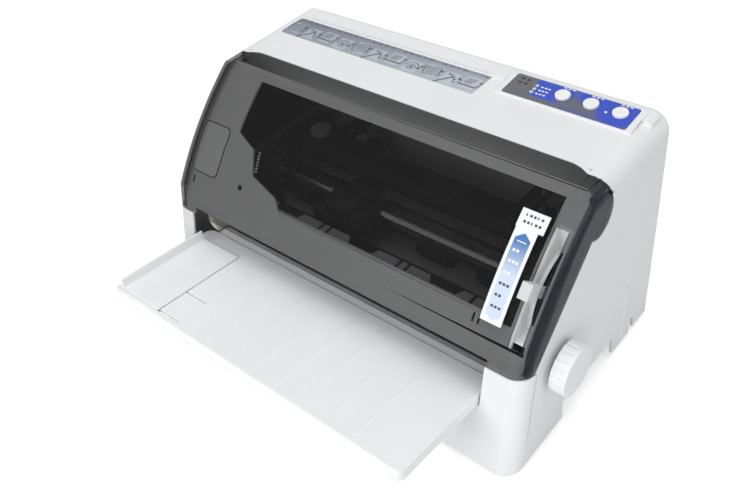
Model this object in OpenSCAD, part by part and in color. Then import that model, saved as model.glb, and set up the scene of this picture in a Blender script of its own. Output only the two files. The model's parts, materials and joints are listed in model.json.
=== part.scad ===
// Flatbed dot matrix printer: front paper table, smoked hinged cover, rear tractor feed.
// Drawn with x = 0 mid width, y = 0 at the case's front bottom edge and z = 0 at its bottom edge,
// then moved so that the origin is under the middle of the whole printer.

/* [Case] */
// Width of the case at its bottom edge
case_w = 366; // [360:1:440]
// Depth of the case at its bottom edge
case_d = 212; // [212:1:260]
// Height from the case's bottom edge to the flat top
case_h = 190.5; // [180:0.5:230]
// How far each side leans inwards, per mm of height
side_lean = 0.021; // [0.01:0.001:0.03]
// How far the front leans backwards, per mm of height
front_lean = 0.23; // [0.18:0.01:0.26]
// Wall of the case
wall = 2.5; // [2:0.1:3]
// Radius of the two upright front corners
front_corner_r = 15; // [10:1:18]
// Radius along the top side edges
top_edge_r = 16; // [12:1:18]
// Radius of the two upright rear corners
rear_corner_r = 10; // [6:1:12]
// Height of the rubber feet
foot_h = 4; // [3:0.5:8]
// Radius of the rubber feet
foot_r = 9; // [6:0.5:11]

/* [Front cover] */
// Height of the cover's lower lip
lip_z = 86; // [84:1:92]
// Thickness of the cover
cover_wall = 2.5; // [2:0.1:3]
// Radius of the convex slope of the cover
slope_r = 320; // [280:5:400]
// Height where the slope starts above the lip
slope_low_z = 108; // [104:1:112]
// Distance from the front bottom edge to the top of the slope
slope_top_y = 106; // [100:1:112]
// Depth of the recess that the cover sits in
cover_recess = 7; // [6:0.5:8]
// Radius of the round ear at each end of the cover
ear_r = 17; // [16:0.5:17.5]
// Distance of the cover's pivot from the front bottom edge
pivot_y = 112.5; // [110:0.5:116]
// Depth of the cover's pivot below the flat top
pivot_drop = 23.5; // [21:0.5:26]
// Radius from the pivot to the cover's rear edge
flap_r = 27.1; // [26:0.1:30]
// Radius of the cover's pivot pins
pin_r = 3; // [2:0.1:4]

/* [Copy lever] */
// Width of the lever's slot in the cover
slot_w = 9.5; // [8:0.5:11]
// Middle of the lever's slot, from the middle of the printer
slot_x = 167.6; // [166:0.2:168]
// Length of the lever's slot along the slope
slot_len = 86; // [80:1:90]
// Length of the lever from its pivot to the end of its handle
lever_len = 74; // [72:1:78]

/* [Paper table] */
// Width of the paper table
tray_w = 304; // [280:1:320]
// How far the table's middle lies from the middle of the printer
tray_shift = -4.5; // [-6:0.5:0]
// How far the table reaches in front of the case's bottom edge
tray_reach = 76; // [60:1:110]
// Rise of the table towards its front edge, in degrees
tray_tilt = 6.6; // [4:0.2:8]
// Height of the table's top where it enters the case
tray_z = 61; // [60:0.5:64]
// Thickness of the table at its rim
tray_t = 10; // [9:0.5:14]
// Number of raised ribs on the table
tray_ribs = 9; // [5:1:12]

/* [Mechanism] */
// Distance between the two side frames' inner faces
frame_gap = 280; // [276:1:290]
// Thickness of the side frames
frame_t = 2; // [1.5:0.1:2.5]
// Height of the paper feed rollers' centres
roller_z = 72; // [71:0.5:74]
// Distance of the front feed roller from the front bottom edge
roller_y = 62; // [61:0.5:64]
// Radius of the feed rollers
roller_r = 10.5; // [9:0.5:11]
// Radius of the feed rollers' shafts
shaft_r = 4; // [3:0.5:5]
// Radius of the paper feed knob
knob_r = 19.6; // [17:0.2:21]
// Width of the paper feed knob
knob_w = 12.5; // [10:0.5:15]
// Tooth size of the feed gears, as pitch diameter over teeth
gear_m = 1; // [0.9:0.05:1.1]
// Teeth of the gears on both feed rollers
feed_teeth = 30; // [28:2:32]
// Teeth of the large gear that the feed motor drives
drive_teeth = 60; // [52:4:64]
// Teeth of the gear on the feed motor
pinion_teeth = 12; // [10:2:14]
// Radius of the carriage shaft
rail_r = 5; // [4:0.5:6]
// Where the carriage stands, from the middle of the printer
carriage_x = -35; // [-60:1:60]
// Width of the carriage
carriage_w = 50; // [40:1:60]
// Pitch radius of the carriage belt's pulleys
pulley_r = 6.4; // [5:0.1:9]

/* [Controls] */
// Radius of the three push buttons
button_r = 5.8; // [5:0.1:6.5]
// How far a button can be pressed
button_travel = 1; // [0.6:0.1:1.4]
// Spacing of the push buttons
button_pitch = 23; // [20:0.5:26]
// Middle button's place, from the middle of the printer
button_x = 127; // [120:1:130]
// Width of the control panel's overlay
panel_w = 101; // [90:1:110]
// Depth of the control panel's overlay
panel_d = 25; // [22:0.5:26]

/* [Hidden] */
$fn = 64;

// Fits and clearances
gap = 0.6;              // between covers and case
seat = 0.3;             // between pieces that lie on each other with room to spare
run = 0.05;             // radial clearance of a shaft in its bearing
far = 400;              // longer than any side of the printer
over = 1;               // how far a cut runs past a face
skin = 0.03;            // under a sticker on a curved face

// Case
half_w = case_w/2;
lean_a = atan(side_lean);
front_a = atan(front_lean);
function side_x(z) = half_w - side_lean*z;
function front_y(z) = front_lean*z;
pivot_z = case_h - pivot_drop;
pivot = [pivot_y, pivot_z];

// Slope of the cover: an arc through its low and its top point
slope_low = [front_y(slope_low_z), slope_low_z];
slope_top = [slope_top_y, case_h];
slope_len = norm(slope_top - slope_low);
slope_t = (slope_top - slope_low)/slope_len;
slope_n = [-slope_t[1], slope_t[0]];
slope_c = (slope_low + slope_top)/2 - slope_n*sqrt(slope_r*slope_r - slope_len*slope_len/4);
slope_a = atan2(slope_t[1], slope_t[0]);
// Point on the slope: s along it from its low end, d below its surface
function on_slope(s, d) =
    let(p = slope_low + slope_t*s - slope_c) slope_c + (slope_r - d)*p/norm(p);
drum_half = side_x((slope_low_z + case_h)/2) + 0.3;
skirt_low = [lip_z/2 - 9, lip_z];
skirt_high = [pivot_y - 11.5, pivot_z - 16];
side_recess = 3;
cheek_x = side_x(pivot_z) - side_recess;
boss_r = 7;
boss_end = side_x(pivot_z) - cover_wall - 0.5;
pin_len = 6;
pocket_depth = 10.5;
open_left = -130;
open_right = 158;
open_low = 14;
open_high = slope_len - 8;
open_shape = [[open_left, open_high], [open_left, 62], [open_left + 22, 53], [open_left + 30, 33],
    [open_left + 60, 24], [open_left + 68, open_low], [open_right, open_low], [open_right, open_high]];

// Sticker beside the lever's slot
sticker_x = 137.5;
sticker_w = 17;
sticker_head = 21;
sticker_low = 12;
sticker_neck = 78;
sticker_top = 91;
sticker_t = 0.25;

// Raised band, control panel and label on the top
band_h = 2.5;
band_y = case_d - 20;
panel_x0 = button_x - panel_w/2 - 16.5;
panel_y0 = case_d - 36;
panel_z0 = case_h + 1.3;
panel_tilt = 4.6;
panel_t = 0.4;
pod_rim = 1.5;
pod_t = 6;
button_y = 14.5;
button_flange = 2;
button_out = 2;
button_clear = 0.35;
lens_r = 1.5;
lens_x = 21;
lens_y = 17;
lens_pitch = 4.2;
board_t = 1.6;
board_drop = pod_t + seat + button_flange + button_travel + board_t + 0.7;
label_x0 = -162;
label_w = 204;
label_y0 = case_d - 49;
label_d = 27.5;
label_t = 0.3;

// Front mouth and paper table
mouth_x0 = tray_shift - tray_w/2 - 1;
mouth_x1 = tray_shift + tray_w/2 + 1;
mouth_z0 = tray_z - tray_t/cos(tray_tilt) - seat;
shelf_t = 2.5;
table_in = 17.5;        // how far the table reaches behind its edge in the mouth
table_y1 = front_y(tray_z) + table_in;
table_len = (tray_reach + table_y1)/cos(tray_tilt);
guide_w = 50;
guide_h = 9;
guide_t = 2;
guide_slots = [7.8, 36];
rib_h = 0.5;
guide_low = rib_h + 0.15;
rim_r = 3.5;
rim_offset = (rim_r + (tray_t - rim_r)*sin(tray_tilt))/cos(tray_tilt) - rim_r;

// Mechanism
frame_x = frame_gap/2;
frame_y0 = 46;
frame_y1 = 190;
frame_top = 112;
base_z = 7;
base_t = 2;
idler_teeth = 20;
tractor_idler_teeth = 32;
function pitch_r(teeth) = gear_m*teeth/2;
rear_y = roller_y + gear_m*(feed_teeth + idler_teeth);
head_y = (roller_y + rear_y)/2;
paper_z = roller_z - roller_r - 0.5;
guide_top = paper_z - 0.6;
press_r = 5;
press_z = paper_z - 0.5 - press_r;
press_shaft_r = 2;
rubber_spots = [-100, -40, 40, 100];
rubber_w = 30;
bush_r = shaft_r + 2.5;
rail_y = head_y + 16;
rail_z = paper_z + 30;
gear_w = 5;
gear_x1 = -frame_x - frame_t - 1.5;
drive_x1 = gear_x1 - gear_w - 0.5;
gear_end = drive_x1 - gear_w;
pinion_a = -96;
function polar(r, a) = r*[cos(a), sin(a)];
pinion_yz = [roller_y, roller_z] + polar(pitch_r(drive_teeth) + pitch_r(pinion_teeth), pinion_a);
idler_yz = [roller_y + pitch_r(feed_teeth) + pitch_r(idler_teeth), roller_z];
tractor_idler_a = 24;
tractor_a = 12;
tractor_reach = pitch_r(feed_teeth) + pitch_r(tractor_idler_teeth);
tractor_idler_yz = [rear_y, roller_z] + polar(tractor_reach, tractor_idler_a);
tractor_yz = tractor_idler_yz + polar(tractor_reach, tractor_a);
tractor_rod_yz = tractor_yz + [6, -22];
tractor_rod_r = 4;
tractor_x = 95;
tractor_w = 16;
tractor_wall = 2.5;
square_w = 6;
square_r = square_w*sqrt(2)/2;
sprocket_r = 11;
motor_r = 14.8;
motor_w = 24;
motor_shaft_r = 2;
belt_y = head_y + 43;
belt_z = paper_z + 26;
belt_x = frame_x - 17.5;
belt_w = 6;
belt_t = 1.4;
head_w = 24;
head_d = 20;
head_top = 43;
cartridge_y0 = rail_y + 23;
cartridge_d = 22;
cartridge_z0 = belt_z + 13;
cartridge_h = 17;
arm_x = 120;
arm_w = 5;
strip_z = roller_z + roller_r + 5.5;
strip_t = 1.6;
function strip_y(k) = roller_y - 14 + 21*k;
rail2_y = rail_y + 10;
rail2_z = rail_z + 8.5;
knob_xy = [-104, cartridge_y0 + 11];

// Turn of a gear that meshes with another, seen from it in the direction dir
function mesh_turn(turn, teeth, dir, own_teeth) =
    dir + 180 - (0.5 - (dir - turn)*teeth/360)*360/own_teeth;
idler_turn = mesh_turn(0, feed_teeth, 0, idler_teeth);
rear_turn = mesh_turn(idler_turn, idler_teeth, 0, feed_teeth);
tractor_idler_turn = mesh_turn(rear_turn, feed_teeth, tractor_idler_a, tractor_idler_teeth);
tractor_turn = mesh_turn(tractor_idler_turn, tractor_idler_teeth, tractor_a, feed_teeth);

// Copy lever
slot_mid = slope_len/2 - 14;
lever_a = slope_a + 90;
lever_rest = 3;
lever_inset = 58;
lever_yz = on_slope(slot_mid, lever_inset);
lever_hub_r = 8;
stud_r = 4;
lever_t = 3.4;
handle_w = 8;
handle_d = 12;
channel_x0 = slot_x - slot_w/2 - 0.1;
channel_x1 = slot_x + slot_w/2 + 0.1;
channel_r = 44;
channel_t = 1;
channel_a = 43;

// Lower case and screws
base_half = half_w - 19;
base_h = 24;
pillar_spots = [for (x = [31 - half_w, half_w - 31], y = [34, case_d - 22]) [x, y]];
frame_spots = [for (x = [-120, 120], y = [58, 176]) [x, y]];
foot_spots = [for (x = [43 - half_w, half_w - 43], y = [45, case_d - 40]) [x, y]];
pillar_z = base_z + 3 + seat;
pillar_h = 18;

// Sockets in the rear wall
inlet_x = -122;
inlet_w = 27;
inlet_h = 20;
socket_z = 31;
switch_x = -88;
switch_w = 21;
switch_h = 15;
switch_yz = [case_d - 8.6, socket_z];
port_x = 60;
port_w = 60;
port2_x = 106;
port2_w = 14;
port_h = 13;
board_z = 22;

// Rear cover over the tractors
rear_w = 141.4;
rear_z0 = 112.6;
rear_z1 = 183.4;
rear_pin = [case_d - 3.4, rear_z1 - 2.8];
rear_pin_r = 1.5;

// Whole printer, for its origin
knob_gap = 3.8;
knob_x0 = side_x(roller_z) + knob_gap;
knob_x1 = knob_x0 + knob_w;
origin_x = (knob_x1 - half_w)/2;
origin_y = (case_d - tray_reach)/2;

white = [0.93, 0.93, 0.92];
off_white = [0.84, 0.85, 0.84];
smoke = [0.20, 0.20, 0.22, 0.55];
dark = [0.10, 0.10, 0.11];
grey = [0.45, 0.46, 0.47];
steel = [0.66, 0.68, 0.70];
board_green = [0.10, 0.35, 0.20];

// ---- Basic forms ----

module block(x0, x1, y0, y1, z0, z1) {
    translate([x0, y0, z0]) cube([x1 - x0, y1 - y0, z1 - z0]);
}

// Rod along x between x0 and x1
module xrod(r, x0, x1, yz) {
    translate([x0, yz[0], yz[1]]) rotate([0, 90, 0]) cylinder(r = r, h = x1 - x0);
}

// Outline in the y-z plane, extruded from x0 to x1
module side_plate(x0, x1) {
    translate([x0, 0, 0]) rotate([90, 0, 90]) linear_extrude(x1 - x0) children();
}

// Outline in the x-z plane, extruded from y0 to y1
module front_plate(y0, y1) {
    translate([0, y1, 0]) rotate([90, 0, 0]) linear_extrude(y1 - y0) children();
}

module rounded_rect(w, d, r) {
    for (x = [r, w - r], y = [r, d - r]) translate([x, y]) circle(r);
    translate([r, 0]) square([w - 2*r, d]);
    translate([0, r]) square([w, d - 2*r]);
}

// Spur gear around the x axis, one tooth pointing at the angle turn from +y towards +z
module gear(teeth, x0, width, yz, turn, bore) {
    tip = pitch_r(teeth) + 0.8*gear_m;
    root = pitch_r(teeth) - 1.15*gear_m;
    step = 360/teeth;
    outline = [for (i = [0:teeth - 1], k = [[-0.29, root], [-0.11, tip], [0.11, tip], [0.29, root]])
        polar(k[1], turn + (i + k[0])*step)];
    difference() {
        translate([x0, yz[0], yz[1]]) rotate([90, 0, 90]) linear_extrude(width) polygon(outline);
        xrod(bore, x0 - over, x0 + width + over, yz);
    }
}

module place() translate([-origin_x, -origin_y, foot_h]) children();

// ---- Outer form of the printer, inset by o ----

module corner_outline(o) {
    r = front_corner_r - o;
    translate([-o - r, o + r]) circle(r);
    polygon([[-far, o], [-o - r, o], [-o - r, o + r], [-o, o + r],
        [-o + far*0.007, far], [-far, far]]);
}

module front_block(o) {
    translate([half_w, 0, 0]) rotate([-front_a, 0, 0]) rotate([0, -lean_a, 0])
        translate([0, 0, -50]) linear_extrude(far) corner_outline(o);
}

module top_outline(o) {
    r = top_edge_r - o;
    zc = case_h - o - r;
    polygon([[-side_x(-50) + o, -50], [side_x(-50) - o, -50], [side_x(zc) - o, zc],
        [side_x(zc) - o - r, zc + r], [-side_x(zc) + o + r, zc + r], [-side_x(zc) + o, zc]]);
    for (s = [-1, 1]) translate([s*(side_x(zc) - o - r), zc]) circle(r);
}

module plan_outline(o) {
    r = rear_corner_r - o;
    y = case_d - o;
    for (s = [-1, 1]) translate([s*(half_w - o - r), y - r]) circle(r);
    polygon([[-half_w + o, -far], [half_w - o, -far], [half_w - o, y - r], [half_w - o - r, y],
        [-half_w + o + r, y], [-half_w + o, y - r]]);
}

module form(o, bottom) {
    front = o/cos(front_a);
    intersection() {
        side_plate(-far/2, far/2) polygon([[front_y(bottom) + front, bottom],
            [front_y(case_h) + front, case_h], [case_d, case_h], [case_d, bottom]]);
        front_plate(-far/2, far) top_outline(o);
        front_block(o);
        mirror([1, 0, 0]) front_block(o);
        translate([0, 0, -50]) linear_extrude(far) plan_outline(o);
    }
}

module slope_cylinder(o) {
    xrod(slope_r - o, -far/2, far/2, slope_c, $fn = 180);
}

// Band of revolution that follows the slope, with rounded ends
module slope_drum(o) {
    r = front_corner_r - o;
    w = drum_half - o;
    translate([0, slope_c[0], slope_c[1]]) rotate([0, 90, 0]) rotate_extrude($fn = 180) union() {
        translate([0, -w]) square([slope_r - o - r, 2*w]);
        translate([0, -w + r]) square([slope_r - o, 2*(w - r)]);
        for (s = [-1, 1]) translate([slope_r - o - r, s*(w - r)]) circle(r);
    }
}

// Steps of revolution around the cover's pivot: from x, to x, radius that the cover's rear edge
// stays in, radius cleared in the case
flap_x = side_x(case_h) - top_edge_r;
ear_rest = ear_r - 0.4;
flap_steps = [[0, flap_x, flap_r, flap_r], [flap_x, flap_x + 6, flap_r - 2.5, flap_r - 2.5],
    [flap_x + 6, flap_x + 9.5, flap_r - 3.4, flap_r - 3.4],
    [flap_x + 9.5, flap_x + 12.5, flap_r - 4.6, flap_r - 4.6],
    [flap_x + 12.5, flap_x + 14, flap_r - 6.2, flap_r - 6.2],
    [flap_x + 14, flap_x + 15.6, ear_rest, flap_r - 7.9], [flap_x + 15.6, far/2, ear_rest, ear_rest]];

module flap_spindle() {
    for (p = flap_steps) both_ways() xrod(p[2], p[0], p[1], pivot);
}

module flap_pocket(g) {
    for (p = flap_steps) both_ways() difference() {
        xrod(p[3] + g, p[0] - g, p[1] + g, pivot);
        xrod(p[3] + g - pocket_depth, p[0] - over - g, p[1] + over + g, pivot);
    }
}

module both_ways() {
    children();
    mirror([1, 0, 0]) children();
}

// Side outline of the cover's place in the case, grown by g towards the case
module cover_outline(g) {
    polygon([[-far, skirt_low[1] - g], [skirt_low[0] + g*0.4, skirt_low[1] - g],
        [skirt_high[0] + g*0.7, skirt_high[1] - g*0.7], [pivot_y + g, pivot_z],
        [pivot_y + g, far], [-far, far]]);
    translate(pivot) circle(ear_r + g);
}

// Frame that lies on the slope: y runs up along it, z out of it
module slope_plane() {
    translate([0, slope_low[0], slope_low[1]]) rotate([slope_a, 0, 0]) children();
}

// ---- Case ----

module recess_solid(o, bottom) {
    intersection() {
        form(side_recess + o, bottom);
        slope_cylinder(cover_recess + o);
        slope_drum(side_recess + o);
    }
}

module case_solid(o, bottom) {
    difference() {
        form(o, bottom);
        side_plate(-far/2, far/2) cover_outline(gap + o);
    }
    recess_solid(o, bottom);
}

module panel_plane() {
    translate([panel_x0, panel_y0, panel_z0]) rotate([panel_tilt, 0, 0]) children();
}

module button_spot(i) {
    panel_plane() translate([button_x - panel_x0 + i*button_pitch, button_y, 0]) children();
}

module lens_spot(i) {
    panel_plane() translate([lens_x, lens_y - i*lens_pitch, 0]) children();
}

module raised_band() {
    intersection() {
        block(-150, side_x(case_h) - 6, band_y, case_d - 5, case_h - 5, case_h + band_h);
        front_plate(0, far) translate([0, band_h]) top_outline(0);
    }
    panel_plane() translate([-5, -pod_rim, -pod_t]) cube([panel_w + 10, panel_d + 2*pod_rim, pod_t]);
}

module screw_pillars() {
    for (p = pillar_spots) {
        s = sign(p[0]);
        translate([p[0], p[1], pillar_z]) cylinder(r = 4.5, h = pillar_h);
        translate([p[0], p[1] - 1, base_h + seat]) mirror([s > 0 ? 0 : 1, 0, 0])
            cube([side_x(pillar_z) - abs(p[0]) - 1, 2, pillar_z + pillar_h - base_h - seat]);
    }
}

module hinge_bosses() {
    intersection() {
        both_ways() xrod(boss_r, cheek_x - wall, boss_end, pivot);
        form(1, 0);
    }
}

// Upright fin low on the right side, near the rear
module side_fin() {
    side_plate(half_w - 2, half_w + 0.8) polygon([[160, 3], [168, 3], [162.5, 62]]);
}

// Slanted ledge between the recess and the guide strip
module inner_ledge() {
    low = on_slope(open_low - 1, cover_recess + 0.8);
    back = [strip_y(0.45), strip_z + strip_t + seat];
    side_plate(-frame_x + 0.5, frame_x - 0.5) polygon([low, low + [1.5, -2.2],
        back, back + [0, wall], low + [3, 0.6]]);
}

module hinge_blocks() {
    both_ways() block(rear_w + 0.8, rear_w + 6, rear_pin[0] - 4, case_d - wall + 0.1,
        rear_pin[1] - 4, rear_pin[1] + 4);
}

module case_cuts() {
    // paper mouth
    block(mouth_x0, mouth_x1, -20, 42, mouth_z0, lip_z + 3);
    // bores of the cover's hinge pins
    both_ways() xrod(pin_r + run, cheek_x - wall - over, boss_end + over, pivot);
    // way out for the knob's shaft
    xrod(shaft_r + 1.5, half_w - 20, half_w + 10, [roller_y, roller_z]);
    // hand hollows and notches in the sides' lower edges
    block(-far/2, far/2, 71, 147, -10, 18);
    block(-far/2, far/2, 176, 183, -10, 13);
    // opening behind the rear cover, and the paper inlet under it
    block(-rear_w - 0.6, rear_w + 0.6, case_d - 8, case_d + 10, rear_z0 - 9, rear_z1 + 1.8);
    both_ways() xrod(rear_pin_r + run, rear_w - over, rear_w + 5, rear_pin);
    // sockets
    block(inlet_x - inlet_w/2 - seat, inlet_x + inlet_w/2 + seat, case_d - 8, case_d + 5,
        socket_z - inlet_h/2 - seat, socket_z + inlet_h/2 + seat);
    block(switch_x - switch_w/2 - seat, switch_x + switch_w/2 + seat, case_d - 8, case_d + 5,
        socket_z - switch_h/2 - seat, socket_z + switch_h/2 + seat);
    for (p = [[port_x, port_w], [port2_x, port2_w]])
        block(p[0] - p[1]/2 - 1, p[0] + p[1]/2 + 1, case_d - 8, case_d + 5,
            board_z + 0.5, board_z + board_t + port_h + 1);
    // buttons and indicator lenses
    for (i = [-1:1]) button_spot(i) translate([0, 0, -20]) cylinder(r = button_r + button_clear, h = 30);
    for (i = [0:2]) lens_spot(i) translate([0, 0, -20]) cylinder(r = lens_r + run, h = 30);
    // case screws
    for (p = pillar_spots) translate([p[0], p[1], 0]) cylinder(r = 1.5, h = pillar_z + pillar_h - 2);
    // slot for the copy lever
    slope_plane() block(channel_x0, channel_x1, slot_mid - slot_len/2 - 1.5,
        slot_mid + slot_len/2 + 1.5, -cover_recess - wall - 6, 0);
}

module upper_case() {
    color(white) difference() {
        union() {
            difference() {
                union() {
                    case_solid(0, 0);
                    raised_band();
                }
                case_solid(wall, -10);
                slope_plane() translate([0, 0, -far/4]) linear_extrude(far/2) polygon(open_shape);
                intersection() {
                    flap_pocket(gap);
                    block(-far/2, far/2, pivot_y, pivot_y + 40, pivot_z - 20, far);
                }
            }
            hinge_bosses();
            inner_ledge();
            side_fin();
            screw_pillars();
            hinge_blocks();
        }
        case_cuts();
    }
}

module lower_case() {
    color(off_white) difference() {
        union() {
            difference() {
                block(-base_half, base_half, 14, case_d - 4, 0, base_h);
                block(-base_half + wall, base_half - wall, 14 + wall, case_d - 4 - wall, wall, 30);
            }
            for (p = pillar_spots) translate([p[0], p[1], over]) cylinder(r = 5.5, h = base_z + 2);
            for (p = frame_spots) translate([p[0], p[1], over]) cylinder(r = 6, h = base_z - over);
        }
        for (p = pillar_spots) translate([p[0], p[1], -1]) cylinder(r = 1.9, h = 20);
        for (p = pillar_spots) translate([p[0], p[1], -1]) cylinder(r = 3.8, h = 4);
        for (p = frame_spots) translate([p[0], p[1], wall]) cylinder(r = 1.5, h = 20);
        block(-142, 142, case_d - 12, case_d + over, 12, 40);
    }
}

module rubber_feet() {
    color(dark) for (p = foot_spots)
        translate([p[0], p[1], -foot_h]) cylinder(r = foot_r, h = foot_h);
}

module screws() {
    color(steel) {
        for (p = pillar_spots) translate([p[0], p[1], 0.6]) union() {
            cylinder(r = 3.4, h = 2.4);
            cylinder(r = 1.5, h = 20);
        }
        for (p = frame_spots) translate([p[0], p[1], base_z - 4]) union() {
            cylinder(r = 1.5, h = 4 + base_t);
            translate([0, 0, 4 + base_t]) cylinder(r = 3.2, h = 2);
        }
    }
}

module cover_form(o) {
    intersection() {
        form(o, 0);
        slope_drum(o);
    }
}

module front_cover() {
    color(smoke) difference() {
        union() {
            difference() {
                intersection() {
                    cover_form(0);
                    union() {
                        intersection() {
                            side_plate(-far/2, far/2) cover_outline(0);
                            block(-far/2, far/2, -far/2, pivot_y, -far, far);
                        }
                        intersection() {
                            flap_spindle();
                            block(-far/2, far/2, pivot_y - over, far, 0, far);
                        }
                    }
                }
                cover_form(cover_wall);
            }
            both_ways() xrod(pin_r, boss_end - pin_len, side_x(pivot_z) - 1, pivot);
        }
        slope_plane() block(slot_x - slot_w/2, slot_x + slot_w/2, slot_mid - slot_len/2,
            slot_mid + slot_len/2, -30, 30);
    }
}

module cover_sticker() {
    color([0.9, 0.93, 0.97]) intersection() {
        difference() {
            slope_cylinder(-skin - sticker_t);
            slope_cylinder(-skin);
        }
        slope_plane() union() {
            block(sticker_x, sticker_x + sticker_w, sticker_low, sticker_neck + over, -over, 12);
            block(sticker_x - 0.5, sticker_x - 0.5 + sticker_head, sticker_neck, sticker_top, -over, 12);
        }
    }
}

module instruction_label() {
    color([0.72, 0.77, 0.86]) block(label_x0, label_x0 + label_w, label_y0, label_y0 + label_d,
        case_h, case_h + label_t);
}

module panel_overlay() {
    color([0.15, 0.25, 0.75]) difference() {
        panel_plane() linear_extrude(panel_t) rounded_rect(panel_w, panel_d, 2);
        for (i = [-1:1]) button_spot(i) translate([0, 0, -over]) cylinder(r = button_r + button_clear, h = 3);
        for (i = [0:2]) lens_spot(i) translate([0, 0, -over]) cylinder(r = lens_r + run, h = 3);
    }
}

module push_button(i) {
    low = pod_t + seat + button_flange;
    color(white) button_spot(i) translate([0, 0, -low]) union() {
        cylinder(r = button_r, h = low + panel_t + button_out);
        cylinder(r = button_r + 1.2, h = button_flange);
    }
}

module indicator_lenses() {
    color([0.8, 0.9, 0.7]) for (i = [0:2]) lens_spot(i)
        translate([0, 0, panel_t + 0.2 - board_drop + board_t + 1.8]) cylinder(r = lens_r, h = board_drop - board_t - 1.8);
}

module panel_board() {
    color(board_green) panel_plane() union() {
        translate([2, 3, -board_drop]) cube([panel_w - 4, panel_d - 6, board_t]);
        for (i = [-1:1]) translate([button_x - panel_x0 + i*button_pitch, button_y, -board_drop + board_t/2])
            translate([-3, -3, 0]) cube([6, 6, board_t/2 + 0.5]);
        for (i = [0:2]) translate([lens_x, lens_y - i*lens_pitch, -board_drop + board_t/2])
            cylinder(r = lens_r + 0.2, h = board_t/2 + 1.8);
        for (x = [8, button_x - panel_x0 + button_pitch/2]) translate([x, panel_d/2, -board_drop + board_t/2])
            cylinder(r = 2.5, h = board_drop - board_t/2 - pod_t);
    }
}

module rear_cover() {
    color(white) difference() {
        union() {
            block(-rear_w, rear_w, case_d - wall, case_d, rear_z0, rear_z1);
            both_ways() block(rear_w - 4, rear_w, rear_pin[0] - 2.6, case_d - over, rear_pin[1] - 2.6, rear_pin[1] + 2.6);
            both_ways() xrod(rear_pin_r, rear_w - over, rear_w + 4.6, rear_pin);
            for (x = [-90, 0, 90]) block(x - 1, x + 1, case_d - wall - 4, case_d - over, rear_z0 + 3, rear_z1 - 10);
        }
        // finger hollow in the outer face
        block(-20, 20, case_d - 1, case_d + over, rear_z0 + 5, rear_z0 + 15);
    }
}

// Frame on the paper table's top: y runs along it from its front edge, z out of it
module table_plane() {
    translate([0, -tray_reach, tray_z + (tray_reach + front_y(tray_z))*tan(tray_tilt)])
        rotate([-tray_tilt, 0, 0]) translate([0, rim_offset, 0]) children();
}

module paper_table() {
    color(white) difference() {
        table_plane() difference() {
            union() {
                intersection() {
                    translate([tray_shift - tray_w/2, 0, -tray_t]) linear_extrude(tray_t)
                        rounded_rect(tray_w, table_len, 8);
                    translate([tray_shift - tray_w/2 - over, 0, 0]) rotate([90, 0, 90]) linear_extrude(tray_w + 2)
                        translate([0, -tray_t]) rounded_rect(table_len + 10, tray_t, rim_r);
                }
                for (i = [1:tray_ribs]) translate([tray_shift - tray_w/2 + 60 + (i - 1)*(tray_w - 80)/tray_ribs, 8, -over])
                    cube([1, table_len - 12, over + rib_h]);
            }
            translate([tray_shift - tray_w/2 + shelf_t, shelf_t, -tray_t - over])
                cube([tray_w - 2*shelf_t, table_len - 2*shelf_t, tray_t + over - shelf_t]);
            // slots that the edge guide's feet slide in
            for (y = guide_slots) translate([tray_shift - tray_w/2 + 35, y - 0.8, -5]) cube([42, 1.6, 10]);
        }
    }
}

module edge_guide() {
    len = table_len - 22;
    color(white) table_plane() translate([tray_shift - tray_w/2 + 7, 0, 0]) union() {
        translate([0, 6, guide_low]) cube([2, len, guide_h]);
        translate([0, 6, guide_low]) cube([guide_w - 4, len, guide_t - guide_low]);
        for (y = guide_slots) {
            translate([30, y - 0.5, -3.5]) cube([12, 1, 3.5 + over]);
            translate([28, y - 3, -4.5]) cube([16, 6, 1]);
        }
    }
}

// ---- Mechanism ----

module frame_outline() {
    polygon([[frame_y0, base_z + base_t], [frame_y1, base_z + base_t], [frame_y1, frame_top - 14],
        [frame_y1 - 20, frame_top], [rail_y - 24, frame_top], [frame_y0, frame_top - 26]]);
}

module frame_bores(x0, x1) {
    for (y = [roller_y, rear_y]) xrod(bush_r, x0, x1, [y, roller_z]);
    for (y = [roller_y, rear_y]) xrod(press_shaft_r + run, x0, x1, [y, press_z]);
    xrod(rail_r, x0, x1, [rail_y, rail_z]);
    xrod(bush_r, x0, x1, tractor_yz);
    xrod(tractor_rod_r, x0, x1, tractor_rod_yz);
}

module side_frame_left() {
    color(steel) difference() {
        union() {
            side_plate(-frame_x - frame_t, -frame_x) frame_outline();
            xrod(3, gear_x1 - gear_w, -frame_x, idler_yz);
            xrod(3, gear_x1 - gear_w, -frame_x, tractor_idler_yz);
            // bracket and pin of the belt's idler pulley
            block(-frame_x - over, -belt_x + 8, belt_y - 6, belt_y + 6, belt_z - 3.5, belt_z - 1.5);
            translate([-belt_x, belt_y, belt_z - 2]) cylinder(r = motor_shaft_r, h = belt_w + 5);
        }
        frame_bores(-frame_x - 9, -frame_x + over);
        xrod(motor_shaft_r + 1, -frame_x - 9, -frame_x + over, pinion_yz);
    }
}

module side_frame_right() {
    color(steel) difference() {
        union() {
            side_plate(frame_x, frame_x + frame_t) frame_outline();
            xrod(stud_r, frame_x, slot_x + 3, lever_yz);
            xrod(stud_r + 3, frame_x, slot_x - 9, lever_yz);
        }
        frame_bores(frame_x - over, frame_x + frame_t + over);
    }
}

module mechanism_base() {
    color(steel) difference() {
        block(-frame_x - frame_t, frame_x + frame_t, frame_y0, frame_y1, base_z, base_z + base_t);
        for (p = frame_spots) translate([p[0], p[1], base_z - over]) cylinder(r = 1.8, h = 10);
        block(-60, 60, 66, 94, base_z - over, base_z + 10);
    }
}

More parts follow.
